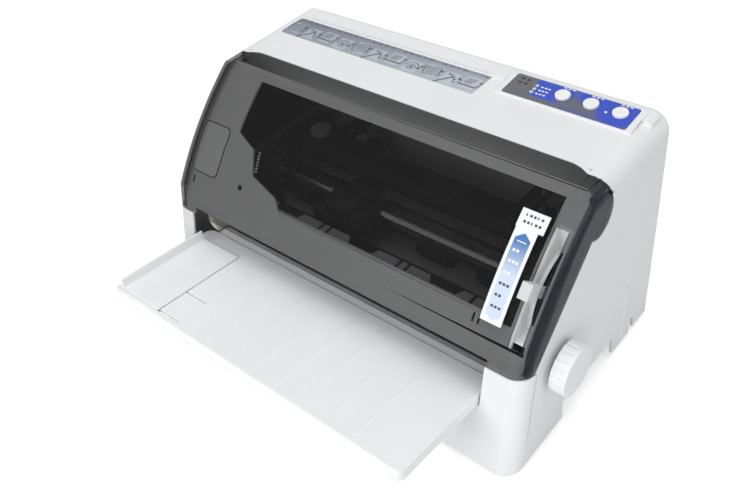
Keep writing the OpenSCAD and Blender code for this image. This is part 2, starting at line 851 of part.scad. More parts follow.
module lower_paper_guide() {
    color(steel) difference() {
        union() {
            block(-frame_x + seat, frame_x - seat, frame_y0, belt_y + 14, guide_top - 1.6, guide_top);
            both_ways() block(frame_x - seat - 1.6, frame_x - seat, frame_y0, belt_y + 14, guide_top - 9, guide_top);
        }
        for (x = rubber_spots, y = [roller_y, rear_y])
            block(x - rubber_w/2 - 2, x + rubber_w/2 + 2, y - press_r - 1.5, y + press_r + 1.5, guide_top - 5, guide_top + 5);
        block(-frame_x + 2, frame_x - 2, head_y - 7.5, head_y + 7.5, guide_top - 12, guide_top + 5);
        both_ways() for (y = [roller_y, rear_y]) block(frame_x - 8, frame_x + 2, y - 3, y + 3, guide_top - 12, guide_top - 2.4);
        translate([belt_x, belt_y, guide_top - 5]) cylinder(r = motor_shaft_r + 1, h = 10);
    }
}

module front_guide_strip() {
    y0 = strip_y(0);
    y1 = strip_y(1);
    color(steel) difference() {
        union() {
            block(-frame_x + seat, frame_x - seat, y0, y1, strip_z, strip_z + strip_t);
            block(-frame_x + seat, frame_x - seat, y0, y0 + strip_t, paper_z + 5, strip_z + strip_t);
        }
        for (x = [-82, 0, 82]) translate([x, 0, strip_z - over]) linear_extrude(5)
            polygon([[-16, y1 + over], [-12, y1 - 7], [12, y1 - 7], [16, y1 + over]]);
        for (x = [-44, -36, 38, 46, 108]) block(x - 1.5, x + 1.5, y1 - 10, y1 + over, strip_z - over, strip_z + 5);
    }
}

module flat_platen() {
    color(dark) block(-frame_x + 2 + seat, frame_x - 2 - seat, head_y - 6, head_y + 6, guide_top - 8, guide_top + 0.2);
}

module feed_roller(y, x0, x1) {
    union() {
        xrod(shaft_r, x0, x1, [y, roller_z]);
        for (x = rubber_spots) xrod(roller_r, x - rubber_w/2, x + rubber_w/2, [y, roller_z]);
    }
}

module front_feed_roller() color(dark) feed_roller(roller_y, gear_end - 2, knob_x1 - 4);

module rear_feed_roller() color(dark) feed_roller(rear_y, gear_end - 2, frame_x + frame_t + 4);

module feed_knob() {
    yz = [roller_y, roller_z];
    color(white) difference() {
        union() {
            xrod(knob_r, knob_x0, knob_x1, yz);
            xrod(knob_r - 8, knob_x0 - 2, knob_x1, yz);
        }
        xrod(shaft_r + run, knob_x0 - 5, knob_x1 - 4 + run, yz);
        for (a = [0:20:340]) translate([knob_x0 - over, 0, 0])
            xrod(2.2, 0, knob_w - 3, yz + polar(knob_r + 1.7, a));
    }
}

// Small gear towards the frame and the large driven gear outside it, as one moulding
module feed_gear() {
    yz = [roller_y, roller_z];
    color(off_white) union() {
        gear(feed_teeth, gear_x1 - gear_w, gear_w, yz, 0, shaft_r + run);
        gear(drive_teeth, drive_x1 - gear_w, gear_w, yz, 0, shaft_r + run);
        difference() {
            xrod(9, drive_x1 - 1, gear_x1 - gear_w + 1, yz);
            xrod(shaft_r + run, drive_x1 - 2, gear_x1, yz);
        }
    }
}

module rear_feed_gear() color(off_white)
    gear(feed_teeth, gear_x1 - gear_w, gear_w, [rear_y, roller_z], rear_turn, shaft_r + run);

module feed_idler_gear() color(off_white)
    gear(idler_teeth, gear_x1 - gear_w, gear_w, idler_yz, idler_turn, 3 + run);

module tractor_idler_gear() color(off_white)
    gear(tractor_idler_teeth, gear_x1 - gear_w, gear_w, tractor_idler_yz, tractor_idler_turn, 3 + run);

module tractor_gear() color(off_white)
    gear(feed_teeth, gear_x1 - gear_w, gear_w, tractor_yz, tractor_turn, shaft_r + run);

module feed_motor() {
    color(grey) union() {
        xrod(motor_r, -frame_x, -frame_x + motor_w, pinion_yz);
        xrod(motor_shaft_r, drive_x1 - gear_w - 1.5, -frame_x + over, pinion_yz);
    }
}

module feed_pinion() color([0.8, 0.7, 0.35])
    gear(pinion_teeth, drive_x1 - gear_w, gear_w, pinion_yz,
        mesh_turn(0, drive_teeth, pinion_a, pinion_teeth), motor_shaft_r + run);

module pressure_rollers(y) {
    color(dark) union() {
        xrod(press_shaft_r, -frame_x - frame_t - 1, frame_x + frame_t + 1, [y, press_z]);
        for (x = rubber_spots) xrod(press_r, x - rubber_w/2 + 1, x + rubber_w/2 - 1, [y, press_z]);
    }
}

module shaft_bushes() {
    color([0.75, 0.6, 0.35]) for (p = [[roller_y, roller_z], [rear_y, roller_z], tractor_yz]) both_ways()
        difference() {
            xrod(bush_r, frame_x - 2, frame_x + frame_t + 1, p);
            xrod(shaft_r + run, frame_x - 5, frame_x + 9, p);
        }
}

module carriage_shaft() color(steel)
    xrod(rail_r, -frame_x - frame_t - 2, frame_x + frame_t + 2, [rail_y, rail_z]);

module guide_rail() {
    color(steel) union() {
        block(-frame_x + seat, frame_x - seat, rail2_y, rail2_y + 10, rail2_z, rail2_z + 1.5);
        block(-frame_x + seat, frame_x - seat, rail2_y + 8.5, rail2_y + 10, rail2_z - 5, rail2_z + 1.5);
    }
}

module carriage() {
    x0 = carriage_x - carriage_w/2;
    x1 = carriage_x + carriage_w/2;
    top = rail_z + 7;
    color(dark) difference() {
        union() {
            block(x0, x1, head_y - head_d/2 - 4, rail_y + rail_r + 3, rail_z - 7.5, top);
            // tongue on the guide rail
            block(x0 + 10, x1 - 10, rail_y, rail2_y + 7, top - over, rail2_z + 1.5 + seat + 2);
            // clamp on the front run of the belt
            block(x0 + 12, x1 - 12, rail_y, belt_y - pulley_r + belt_t + 1.6, belt_z - 2.3, belt_z - seat);
            block(x0 + 12, x1 - 12, rail_y, belt_y - pulley_r - belt_t - seat, belt_z - 2.3, belt_z + belt_w);
            block(x0 + 12, x1 - 12, belt_y - pulley_r + belt_t + seat - 0.6, belt_y - pulley_r + belt_t + 1.6,
                belt_z - 2.3, belt_z + belt_w);
        }
        block(carriage_x - head_w/2 - seat, carriage_x + head_w/2 + seat, head_y - head_d/2 - seat,
            head_y + head_d/2 + seat, rail_z - 20, rail_z + 20);
        xrod(rail_r + run, x0 - over, x1 + over, [rail_y, rail_z]);
        // room for the guide rail under the tongue
        block(x0 - over, x1 + over, rail2_y - 2, rail2_y + 14, belt_z + belt_w + 0.1, rail2_z + 1.5 + seat);
    }
}

module print_head() {
    x0 = carriage_x - head_w/2;
    x1 = carriage_x + head_w/2;
    y0 = head_y - head_d/2;
    y1 = head_y + head_d/2;
    z0 = paper_z + 1;
    color(grey) union() {
        block(carriage_x - 4, carriage_x + 4, head_y - 5, head_y + 5, z0, z0 + 17);
        block(x0, x1, y0, y1, z0 + 16, z0 + head_top - 14);
        // flange that lies on the carriage
        block(x0 - 5, x1 + 5, y0 + 2, y1 - 9, rail_z + 7, rail_z + 9);
        for (i = [0:8]) block(x0 + i*(head_w - 1.2)/8, x0 + i*(head_w - 1.2)/8 + 1.2, y0, y1,
            z0 + head_top - 15, z0 + head_top);
    }
}

module carriage_motor() {
    top = guide_top - 1.6;
    color(grey) union() {
        translate([belt_x, belt_y, top - motor_w]) cylinder(r = motor_r, h = motor_w);
        translate([belt_x, belt_y, top - over]) cylinder(r = motor_shaft_r, h = belt_z + belt_w + 2 - top + over);
    }
}

module pulley(x) {
    difference() {
        translate([x, belt_y, belt_z - 1]) union() {
            cylinder(r = pulley_r + 2.2, h = 0.8);
            cylinder(r = pulley_r - belt_t/2 - 0.1, h = belt_w + 2);
            translate([0, 0, belt_w + 1.2]) cylinder(r = pulley_r + 2.2, h = 0.8);
        }
        translate([x, belt_y, belt_z - 3]) cylinder(r = motor_shaft_r + run, h = belt_w + 8);
    }
}

module belt_pulley() color(steel) pulley(belt_x);

module idler_pulley() color(steel) pulley(-belt_x);

module belt_outline(r) {
    for (s = [-1, 1]) translate([s*belt_x, 0]) circle(r);
    translate([-belt_x, -r]) square([2*belt_x, 2*r]);
}

module timing_belt() {
    color(dark) translate([0, belt_y, belt_z]) linear_extrude(belt_w) difference() {
        belt_outline(pulley_r + belt_t/2);
        belt_outline(pulley_r - belt_t/2);
    }
}

module ribbon_cartridge() {
    z1 = cartridge_z0 + cartridge_h;
    color(dark) union() {
        translate([-132, cartridge_y0, cartridge_z0]) linear_extrude(cartridge_h)
            rounded_rect(264, cartridge_d, 6);
        block(-frame_x + seat, frame_x - seat, cartridge_y0 + 4, cartridge_y0 + 18, cartridge_z0, cartridge_z0 + 4);
        both_ways() block(arm_x, arm_x + arm_w, head_y - 5, cartridge_y0 + 8, cartridge_z0 + 4, cartridge_z0 + 10);
        both_ways() block(arm_x, arm_x + arm_w, head_y - 5, head_y + 6, paper_z + 1, cartridge_z0 + 10);
    }
}

module ribbon_knob() {
    color(grey) translate([knob_xy[0], knob_xy[1], cartridge_z0 + cartridge_h + seat]) union() {
        cylinder(r = 3, h = 3);
        translate([0, 0, 2]) linear_extrude(5) difference() {
            circle(9);
            for (a = [0:30:330]) translate(polar(10.2, a)) circle(2);
        }
    }
}

module ink_ribbon() color([0.05, 0.05, 0.06])
    block(-arm_x, arm_x, head_y - 4.5, head_y + 4.5, paper_z + 0.4, paper_z + 0.7);

// ---- Copy lever ----

module lever_frame(a) {
    translate([0, lever_yz[0], lever_yz[1]]) rotate([a, 0, 0]) children();
}

module copy_lever() {
    color(white) difference() {
        union() {
            xrod(lever_hub_r, slot_x - 8.5, slot_x + 2.5, lever_yz);
            lever_frame(lever_a + lever_rest) {
                block(slot_x - lever_t/2, slot_x + lever_t/2, 0, lever_len - 4, -4, 4);
                block(slot_x - handle_w/2, slot_x + handle_w/2, lever_inset + 2, lever_len, -handle_d/2, handle_d/2);
            }
        }
        xrod(stud_r + run, slot_x - 20, slot_x + 20, lever_yz);
    }
}

// Channel under the lever's slot, round the lever's pivot
module channel_sector(r0, r1, x0, x1, a) {
    intersection() {
        difference() {
            xrod(r1, x0, x1, lever_yz);
            xrod(r0, x0 - over, x1 + over, lever_yz);
        }
        lever_frame(lever_a) side_plate(x0, x1)
            polygon([[0, 0], polar(2*r1, -a), polar(2*r1, a)]);
    }
}

module lever_plate() {
    end_a = asin(channel_t/channel_r);
    color(white) difference() {
        intersection() {
            channel_sector(channel_r - channel_t, channel_r + 20, channel_x0 - channel_t, channel_x1 + channel_t, channel_a);
            slope_cylinder(cover_recess + wall + seat);
            slope_drum(side_recess + wall + seat);
        }
        channel_sector(channel_r, channel_r + 40, channel_x0, channel_x1, channel_a - end_a);
        channel_sector(channel_r - 20, channel_r + 40, slot_x - lever_t/2 - 0.5, slot_x + lever_t/2 + 0.5, channel_a - 5);
    }
}

// ---- Tractors ----

module tractor_drive_shaft() {
    color(steel) union() {
        translate([-frame_x + 3, tractor_yz[0], tractor_yz[1]]) rotate([45, 0, 0])
            translate([0, -square_w/2, -square_w/2]) cube([2*frame_x - 6, square_w, square_w]);
        xrod(shaft_r, gear_end + gear_w - 2, -frame_x + 4, tractor_yz);
        xrod(shaft_r, frame_x - 4, frame_x + frame_t + 3, tractor_yz);
    }
}

module tractor_guide_shaft() color(steel)
    xrod(tractor_rod_r, -frame_x - frame_t - 2, frame_x + frame_t + 2, tractor_rod_yz);

module tractor(x) {
    w = tractor_w/2;
    y = tractor_yz[0];
    z = tractor_yz[1];
    color(dark) difference() {
        block(x - w, x + w, y - 20, y + 20, z - 30, z + 3);
        xrod(tractor_rod_r + run, x - w - over, x + w + over, tractor_rod_yz);
        xrod(square_r + 1, x - w - over, x + w + over, tractor_yz);
        xrod(sprocket_r + 2.5, x - w + tractor_wall, x + w + over, tractor_yz);
        block(x - w + tractor_wall, x + w + over, y - 22, y + 22, z - 0.5, z + 5);
    }
}

module tractor_gate(x) {
    w = tractor_w/2;
    y = tractor_yz[0];
    z = tractor_yz[1];
    color(dark) difference() {
        union() {
            block(x - w, x + w, y - 20, y + 20, z + sprocket_r + 3.3, z + sprocket_r + 6.3);
            block(x - w, x - w + tractor_wall - seat, y - 20, y + 20, z + 3.3, z + sprocket_r + 4);
        }
        block(x - 1.5, x + 3.5, y - 14, y + 14, z, z + 40);
        xrod(square_r + 1, x - w - over, x + w + over, tractor_yz);
    }
}

module sprocket(x) {
    z = tractor_yz;
    x0 = x - tractor_w/2 + tractor_wall + seat;
    color(off_white) difference() {
        union() {
            xrod(sprocket_r, x0, x0 + 8, z);
            for (a = [0:45:315]) translate([x0 + 4, z[0], z[1]]) rotate([a, 0, 0])
                translate([0, 0, sprocket_r - 2]) cylinder(r = 1.8, h = 4);
        }
        xrod(square_r + run, x0 - over, x0 + 10, z);
    }
}

// ---- Electrics ----

module main_board() {
    z = board_z;
    color(board_green) difference() {
        union() {
            block(-30, 118, 104, case_d - 8, z, z + board_t);
            for (x = [-10, 22, 60], y = [120, 150]) block(x, x + 18, y, y + 14, z + over, z + 4.5);
            for (x = [-24, 112], y = [110, frame_y1 - 6]) translate([x, y, base_z + base_t]) cylinder(r = 3, h = z - base_z - base_t + over);
            block(88, 92, 112, 150, z + over, z + 12);
            for (p = [[port_x, port_w], [port2_x, port2_w]])
                block(p[0] - p[1]/2, p[0] + p[1]/2, case_d - 18, case_d - 0.5, z + 0.8, z + board_t + port_h);
        }
        for (p = [[port_x, port_w - 12], [port2_x, port2_w - 3]])
            block(p[0] - p[1]/2, p[0] + p[1]/2, case_d - 8, case_d + over, z + board_t + 1.5, z + board_t + port_h - 1.5);
    }
}

module power_supply() {
    z = base_z + base_t;
    color([0.75, 0.6, 0.3]) union() {
        block(-134, -40, 100, 176, z + 4, z + 5.6);
        for (x = [-128, -46], y = [106, 170]) translate([x, y, z]) cylinder(r = 3, h = 4.5);
        block(-124, -84, 112, 150, z + 5, z + 36);
        for (x = [-72, -56]) translate([x, 118, z + 5]) cylinder(r = 7, h = 26);
        block(-80, -44, 136, 144, z + 5, z + 32);
    }
}

// Inlet and switch housing in one moulding, with the inlet's three pins
module power_inlet() {
    y = case_d;
    color(dark) difference() {
        union() {
            block(inlet_x - inlet_w/2, inlet_x + inlet_w/2, y - 22, y - 0.4, socket_z - inlet_h/2, socket_z + inlet_h/2);
            block(switch_x - switch_w/2, switch_x + switch_w/2, y - 22, y - 0.4,
                socket_z - switch_h/2, socket_z + switch_h/2);
            block(inlet_x - inlet_w/2 - 1.5, switch_x + switch_w/2 + 1.5, y - 5, y - wall - 0.05,
                socket_z - inlet_h/2 - 1.5, socket_z + inlet_h/2 + 1.5);
        }
        block(inlet_x - 11, inlet_x + 11, y - 16, y + over, socket_z - 7, socket_z + 7);
        block(switch_x - 8, switch_x + 8, y - 14, y + over, socket_z - 6.5, socket_z + 6.5);
        xrod(1.2 + run, switch_x - 9.6, switch_x + 9.6, switch_yz);
    }
    color(steel) for (x = [-7, 0, 7]) block(inlet_x + x - 1, inlet_x + x + 1, y - 17, y - 4,
        socket_z - 2, socket_z + 2);
}

module power_switch() {
    color(dark) union() {
        intersection() {
            xrod(8.2, switch_x - 7.6, switch_x + 7.6, switch_yz);
            block(switch_x - 20, switch_x + 20, case_d - 12, case_d, socket_z - 5.6, socket_z + 5.6);
        }
        xrod(1.2, switch_x - 9.5, switch_x + 9.5, switch_yz);
    }
}

place() lower_case();
place() upper_case();
place() rubber_feet();
place() screws();
place() front_cover();
place() cover_sticker();
place() instruction_label();
place() panel_overlay();
place() push_button(-1);  // button_left
place() push_button(0);  // button_middle
place() push_button(1);  // button_right
place() indicator_lenses();
place() panel_board();
place() rear_cover();
place() paper_table();
place() edge_guide();
place() side_frame_left();
place() side_frame_right();
place() mechanism_base();
place() lower_paper_guide();
place() front_guide_strip();
place() flat_platen();
place() front_feed_roller();
place() feed_knob();
place() feed_gear();
place() rear_feed_roller();
place() rear_feed_gear();
place() feed_idler_gear();
place() feed_motor();
place() feed_pinion();
place() pressure_rollers(roller_y);  // front_pressure_rollers
place() pressure_rollers(rear_y);  // rear_pressure_rollers
place() shaft_bushes();
place() carriage_shaft();
place() guide_rail();
place() carriage();
place() print_head();
place() carriage_motor();
place() belt_pulley();
place() idler_pulley();
place() timing_belt();
place() ribbon_cartridge();
place() ribbon_knob();
place() ink_ribbon();
place() copy_lever();
place() lever_plate();
place() tractor_gear();
place() tractor_idler_gear();
place() tractor_drive_shaft();
place() tractor_guide_shaft();
place() tractor(-tractor_x);  // tractor_left
place() tractor(tractor_x);  // tractor_right
place() tractor_gate(-tractor_x);  // tractor_gate_left
place() tractor_gate(tractor_x);  // tractor_gate_right
place() sprocket(-tractor_x);  // sprocket_left
place() sprocket(tractor_x);  // sprocket_right
place() main_board();
place() power_supply();
place() power_inlet();
place() power_switch();
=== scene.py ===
"""Looks of a flatbed dot matrix printer: rounded shells, finishes, prints, light and camera."""

import json
import math

import bmesh
import bpy
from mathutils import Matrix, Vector
from mathutils.bvhtree import BVHTree
from mathutils.kdtree import KDTree


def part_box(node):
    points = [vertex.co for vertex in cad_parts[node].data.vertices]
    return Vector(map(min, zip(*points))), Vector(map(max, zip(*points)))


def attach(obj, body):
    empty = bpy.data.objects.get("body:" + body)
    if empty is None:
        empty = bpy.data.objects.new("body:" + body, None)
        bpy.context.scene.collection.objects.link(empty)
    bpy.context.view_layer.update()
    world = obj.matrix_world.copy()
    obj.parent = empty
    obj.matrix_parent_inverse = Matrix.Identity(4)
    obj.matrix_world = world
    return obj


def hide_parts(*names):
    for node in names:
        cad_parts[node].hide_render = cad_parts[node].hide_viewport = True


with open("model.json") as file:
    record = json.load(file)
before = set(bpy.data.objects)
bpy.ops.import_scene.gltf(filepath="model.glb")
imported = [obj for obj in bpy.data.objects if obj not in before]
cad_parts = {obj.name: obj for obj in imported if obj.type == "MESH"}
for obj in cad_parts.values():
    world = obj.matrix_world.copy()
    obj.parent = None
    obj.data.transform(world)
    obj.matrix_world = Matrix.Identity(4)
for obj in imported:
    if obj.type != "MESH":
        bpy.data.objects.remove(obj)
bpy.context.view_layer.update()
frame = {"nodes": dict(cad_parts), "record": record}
NODES = frame["nodes"]
BODY_OF = {n: b for b, names in frame["record"]["behaviour"]["bodies"].items() for n in names}
MM = 0.001

# Camera, as the photograph shows the printer: millimetres of lens and sensor, metres and degrees
CAMERA_LENS = 40.45
CAMERA_SENSOR = 36
CAMERA_PLACE = (0.36077, -0.35246, 0.54191)
CAMERA_TURN = (47.824, 6.121, 39.693)

# Lamps: name, place, size, power and whether gloss shows them
LAMPS = (("key", (-0.4, -2.0, 1.35), (1.4, 1.4), 23, False),
         ("top", (0.1, 0.2, 2.0), (1.6, 1.6), 17, False),
         ("side", (1.9, 0.2, 0.9), (1.0, 1.4), 5, True),
         ("front", (0.9, -1.7, 0.6), (1.4, 0.8), 10, True))
LAMP_TARGET = (0, 0, 0.08)
FILL_COLOUR = (0.95, 0.97, 1.0, 1)
FILL_STRENGTH = 0.35
FLOOR_REACH = 6.0
FLOOR_GLOW = 0.5

# Slope of the smoked cover, in the frame: an arc round SLOPE_CENTRE, seen along x
SLOPE_R = 0.320
SLOPE_LOW = Vector((-0.04316, 0.1120))
SLOPE_TOP = Vector((0.0380, 0.1945))
SLOPE_CENTRE = Vector((0.22178, -0.06746))
SLOPE_T = (SLOPE_TOP - SLOPE_LOW).normalized()
# Ledge round the printing bay, this far below the cover's outer face
LEDGE_DROP = 0.007

# Middle of the case across the frame, and how much its sides lean in per metre of height
CASE_MIDDLE = 0.0074
SIDE_LEAN = 0.021
# Rounding of the case's top edges at the sides: distance from the middle in mm, radius and middle's height
EDGE_START = 163
EDGE_R = 0.016
EDGE_Z = 0.1785

# Painted shade inside the printing bay: the case's white turns dark there to stand in for the shadow inside.
# Each pair is where the painted shade begins and where it is full
BAY_DEPTH = (0.0105, 0.0135)
BAY_BOTTOM = (0.088, 0.094)
BAY_TOP = (0.160, 0.150)
BAY_REAR = (0.1434, 0.1426)
BAY_SIDE = (0.1818, 0.1808)
BAY_PAINTED_SHADE_COLOUR = (0.022, 0.022, 0.024, 1)
# Painted shade on the ledge round the bay, in the same way, full at the left and none at the right, and how
# dark it gets
LEDGE_DEPTH = (0.0045, 0.0060)
LEDGE_TOP = (0.192, 0.188)
LEDGE_ACROSS = (0.12, -0.16)
LEDGE_PAINTED_SHADE = 0.16

# Paper table: how much it rises to the rear, its rear edge and its lip
TABLE_TILT = math.radians(6.6)
TABLE_REAR_Z = 0.0628
LIP_INSET = 0.010
LIP_DEPTH = 0.0135
LIP_OVERLAP = 0.002

# Slope of the control panel
PANEL_TILT = math.radians(4.6)
BUTTONS = ("button_left", "button_middle", "button_right")

# Radius round the pivot of the case's wall behind the cover, in mm, by the distance from the middle
CORNER = ((0, 27.8), (146, 27.8), (149, 27.7), (152, 27.4), (155, 27.0), (158, 26.4), (160.5, 25.8),
          (163, 25.3), (165.5, 25.1), (168, 24.9), (169.5, 24.6), (171, 24.3), (172.2, 23.8),
          (173, 23.3), (174, 22.8), (175, 22.3), (176, 21.6), (178, 19.7))
PIVOT = Vector((0.0445, 0.1710))
CORNER_START = 145
CORNER_END = 176.5
CORNER_GAP = 0.7
TROUGH_LOW = 0.159
TROUGH_WALL = 0.001
TROUGH_TOP_WALL = 0.004

# Part of the room beside an edge that its bevel may take, and sockets of the colour mix node
BEVEL_PART = 0.42
MIX_FACTOR, MIX_A, MIX_B, MIX_COLOUR = 0, 6, 7, 2


# ---- Materials ----

def node_of(tree, kind, **settings):
    node = tree.nodes.new(kind)
    for key, value in settings.items():
        setattr(node, key, value)
    return node


def new_material(name):
    material = bpy.data.materials.new(name)
    material.use_nodes = True
    return material, material.node_tree, material.node_tree.nodes["Principled BSDF"]


def noise(tree, scale, detail=2.0, stretch=(1, 1, 1)):
    place = node_of(tree, "ShaderNodeTexCoord")
    mapping = node_of(tree, "ShaderNodeMapping")
    mapping.inputs["Scale"].default_value = stretch
    texture = node_of(tree, "ShaderNodeTexNoise")
    texture.inputs["Scale"].default_value = scale
    texture.inputs["Detail"].default_value = detail
    tree.links.new(place.outputs["Object"], mapping.inputs["Vector"])
    tree.links.new(mapping.outputs["Vector"], texture.inputs["Vector"])
    return texture.outputs["Fac"]


def value_of(tree, operation, first, second=0.0):
    """Result of a sum on two numbers or sockets."""
    node = node_of(tree, "ShaderNodeMath", operation=operation)
    for slot, value in zip(node.inputs, (first, second)):
        if isinstance(value, (int, float)):
            slot.default_value = value
        else:
            tree.links.new(value, slot)
    return node.outputs[0]


def soft_mask(tree, value, low, high):
    """A number that goes softly from 0 at low to 1 at high. With high below low it goes the other way."""
    span = node_of(tree, "ShaderNodeMapRange", interpolation_type="SMOOTHSTEP")
    span.inputs["From Min"].default_value = min(low, high)
    span.inputs["From Max"].default_value = max(low, high)
    span.inputs["To Min"].default_value = 0.0 if low < high else 1.0
    span.inputs["To Max"].default_value = 1.0 if low < high else 0.0
    tree.links.new(value, span.inputs["Value"])
    return span.outputs["Result"]


def product(tree, *values):
    total = values[0]
    for value in values[1:]:
        total = value_of(tree, "MULTIPLY", total, value)
    return total


def places(tree):
    """x, y and z in the frame, and the depth below the slope of the cover."""
    place = node_of(tree, "ShaderNodeTexCoord")
    split = node_of(tree, "ShaderNodeSeparateXYZ")
    tree.links.new(place.outputs["Object"], split.inputs[0])
    x, y, z = split.outputs
    across = value_of(tree, "SUBTRACT", y, SLOPE_CENTRE.x)
    up = value_of(tree, "SUBTRACT", z, SLOPE_CENTRE.y)
    squares = value_of(tree, "ADD", product(tree, across, across), product(tree, up, up))
    depth = value_of(tree, "SUBTRACT", SLOPE_R, value_of(tree, "SQRT", squares))
    return x, y, z, depth


def between(tree, fac, low, high):
    """A number that goes from low to high with fac."""
    span = node_of(tree, "ShaderNodeMapRange")
    span.inputs["To Min"].default_value = low
    span.inputs["To Max"].default_value = high
    tree.links.new(fac, span.inputs["Value"])
    return span.outputs["Result"]


def tint(tree, fac, dark, light, low=0.3, high=0.7):
    ramp = node_of(tree, "ShaderNodeValToRGB")
    ramp.color_ramp.elements[0].position = low
    ramp.color_ramp.elements[1].position = high
    ramp.color_ramp.elements[0].color = (*dark, 1)
    ramp.color_ramp.elements[1].color = (*light, 1)
    tree.links.new(fac, ramp.inputs["Fac"])
    return ramp.outputs["Color"]


def bump(tree, shader, height, distance, strength=1.0):
    node = node_of(tree, "ShaderNodeBump")
    node.inputs["Distance"].default_value = distance
    node.inputs["Strength"].default_value = strength
    tree.links.new(height, node.inputs["Height"])
    tree.links.new(node.outputs["Normal"], shader.inputs["Normal"])


def scaled(colour, factor):
    return tuple(c * factor for c in colour)


def plastic(name, colour, roughness=0.45, spread=0.035, grain=2600, depth=0.00002, spot=0.06):
    """Moulded plastic: spark-eroded grain, slight cloudiness and uneven gloss."""
    material, tree, shader = new_material(name)
    cloud = noise(tree, 14, 3)
    tree.links.new(tint(tree, cloud, scaled(colour, 1 - spread), colour), shader.inputs["Base Color"])
    gloss = noise(tree, 45, 4)
    tree.links.new(between(tree, gloss, roughness - spot, roughness + spot), shader.inputs["Roughness"])
    bump(tree, shader, noise(tree, grain, 2), depth)
    return material


def painted_bay_shade(tree):
    """Mask of painted shade: 1 inside the printing bay, LEDGE_PAINTED_SHADE on the ledge round it and 0
    elsewhere, with soft limits.
    """
    x, y, z, depth = places(tree)
    from_middle = value_of(tree, "ABSOLUTE", value_of(tree, "ADD", x, CASE_MIDDLE))
    side = value_of(tree, "ADD", from_middle, product(tree, z, SIDE_LEAN))
    within = soft_mask(tree, side, *BAY_SIDE)
    bay = product(tree, soft_mask(tree, depth, *BAY_DEPTH), soft_mask(tree, z, *BAY_BOTTOM),
                  soft_mask(tree, z, *BAY_TOP), soft_mask(tree, y, *BAY_REAR), within)
    # Painted shade on the ledge: full at the left, none at the right
    ledge = product(tree, soft_mask(tree, depth, *LEDGE_DEPTH), soft_mask(tree, z, *LEDGE_TOP),
                    soft_mask(tree, x, *LEDGE_ACROSS), within)
    both = value_of(tree, "ADD", bay, product(tree, ledge, LEDGE_PAINTED_SHADE))
    return value_of(tree, "MINIMUM", both, 1.0)


def case_plastic_with_painted_shade(name, colour):
    """White case plastic with painted shade: dark inside the printing bay and a little darker on the ledge
    round it, standing in for the shadow there.
    """
    material, tree, shader = new_material(name)
    blend = node_of(tree, "ShaderNodeMix", data_type="RGBA")
    tree.links.new(painted_bay_shade(tree), blend.inputs[MIX_FACTOR])
    tree.links.new(tint(tree, noise(tree, 14, 3), scaled(colour, 0.965), colour), blend.inputs[MIX_A])
    # Painted shade: the dark colour that stands in for the shadow in the printing bay
    blend.inputs[MIX_B].default_value = BAY_PAINTED_SHADE_COLOUR
    tree.links.new(blend.outputs[MIX_COLOUR], shader.inputs["Base Color"])
    tree.links.new(between(tree, noise(tree, 45, 4), 0.36, 0.48), shader.inputs["Roughness"])
    bump(tree, shader, noise(tree, 2600, 2), 0.00002)
    return material


def metal(name, colour, roughness=0.32, stretch=(1, 14, 14), scratch=420):
    """Rolled or turned metal with fine lines along x."""
    material, tree, shader = new_material(name)
    shader.inputs["Metallic"].default_value = 1.0
    lines = noise(tree, scratch, 3, stretch)
    tree.links.new(tint(tree, lines, scaled(colour, 0.82), colour), shader.inputs["Base Color"])
    tree.links.new(between(tree, lines, roughness - 0.08, roughness + 0.12), shader.inputs["Roughness"])
    bump(tree, shader, lines, 0.00001)
    return material


def smoked(name, colour, alpha, roughness=0.07, shine=0.08):
    """Clear smoked plastic. Light and sight pass straight through its thin walls."""
    material, tree, shader = new_material(name)
    cloud = noise(tree, 9, 2)
    tree.links.new(tint(tree, cloud, scaled(colour, 0.85), colour), shader.inputs["Base Color"])
    tree.links.new(between(tree, noise(tree, 60, 3), roughness - 0.02, roughness + 0.03),
                   shader.inputs["Roughness"])
    shader.inputs["Alpha"].default_value = alpha
    shader.inputs["Specular IOR Level"].default_value = shine
    return material


def printed(name, roughness=0.35):
    """Printed film: its colours come from the mesh, under a faint gloss."""
    material, tree, shader = new_material(name)
    colours = node_of(tree, "ShaderNodeVertexColor", layer_name="print")
    tree.links.new(colours.outputs["Color"], shader.inputs["Base Color"])
    tree.links.new(between(tree, noise(tree, 90, 3), roughness - 0.06, roughness + 0.06),
                   shader.inputs["Roughness"])
    bump(tree, shader, noise(tree, 1500, 2), 0.00001)
    return material


def fabric(name, colour):
    material, tree, shader = new_material(name)
    weave = node_of(tree, "ShaderNodeTexWave")
    weave.inputs["Scale"].default_value = 900
    place = node_of(tree, "ShaderNodeTexCoord")
    tree.links.new(place.outputs["Object"], weave.inputs["Vector"])
    threads = tint(tree, weave.outputs["Fac"], scaled(colour, 0.5), colour)
    tree.links.new(threads, shader.inputs["Base Color"])
    shader.inputs["Roughness"].default_value = 0.8
    bump(tree, shader, weave.outputs["Fac"], 0.00005)
    return material


def circuit(name, colour, trace):
    """Solder mask over copper tracks."""
    material, tree, shader = new_material(name)
    cells = node_of(tree, "ShaderNodeTexVoronoi", distance="MANHATTAN", feature="DISTANCE_TO_EDGE")
    cells.inputs["Scale"].default_value = 260
    place = node_of(tree, "ShaderNodeTexCoord")
    tree.links.new(place.outputs["Object"], cells.inputs["Vector"])
    tracks = tint(tree, cells.outputs["Distance"], trace, colour, 0.03, 0.08)
    tree.links.new(tracks, shader.inputs["Base Color"])
    shader.inputs["Roughness"].default_value = 0.3
    bump(tree, shader, noise(tree, 500, 2), 0.00002)
    return material


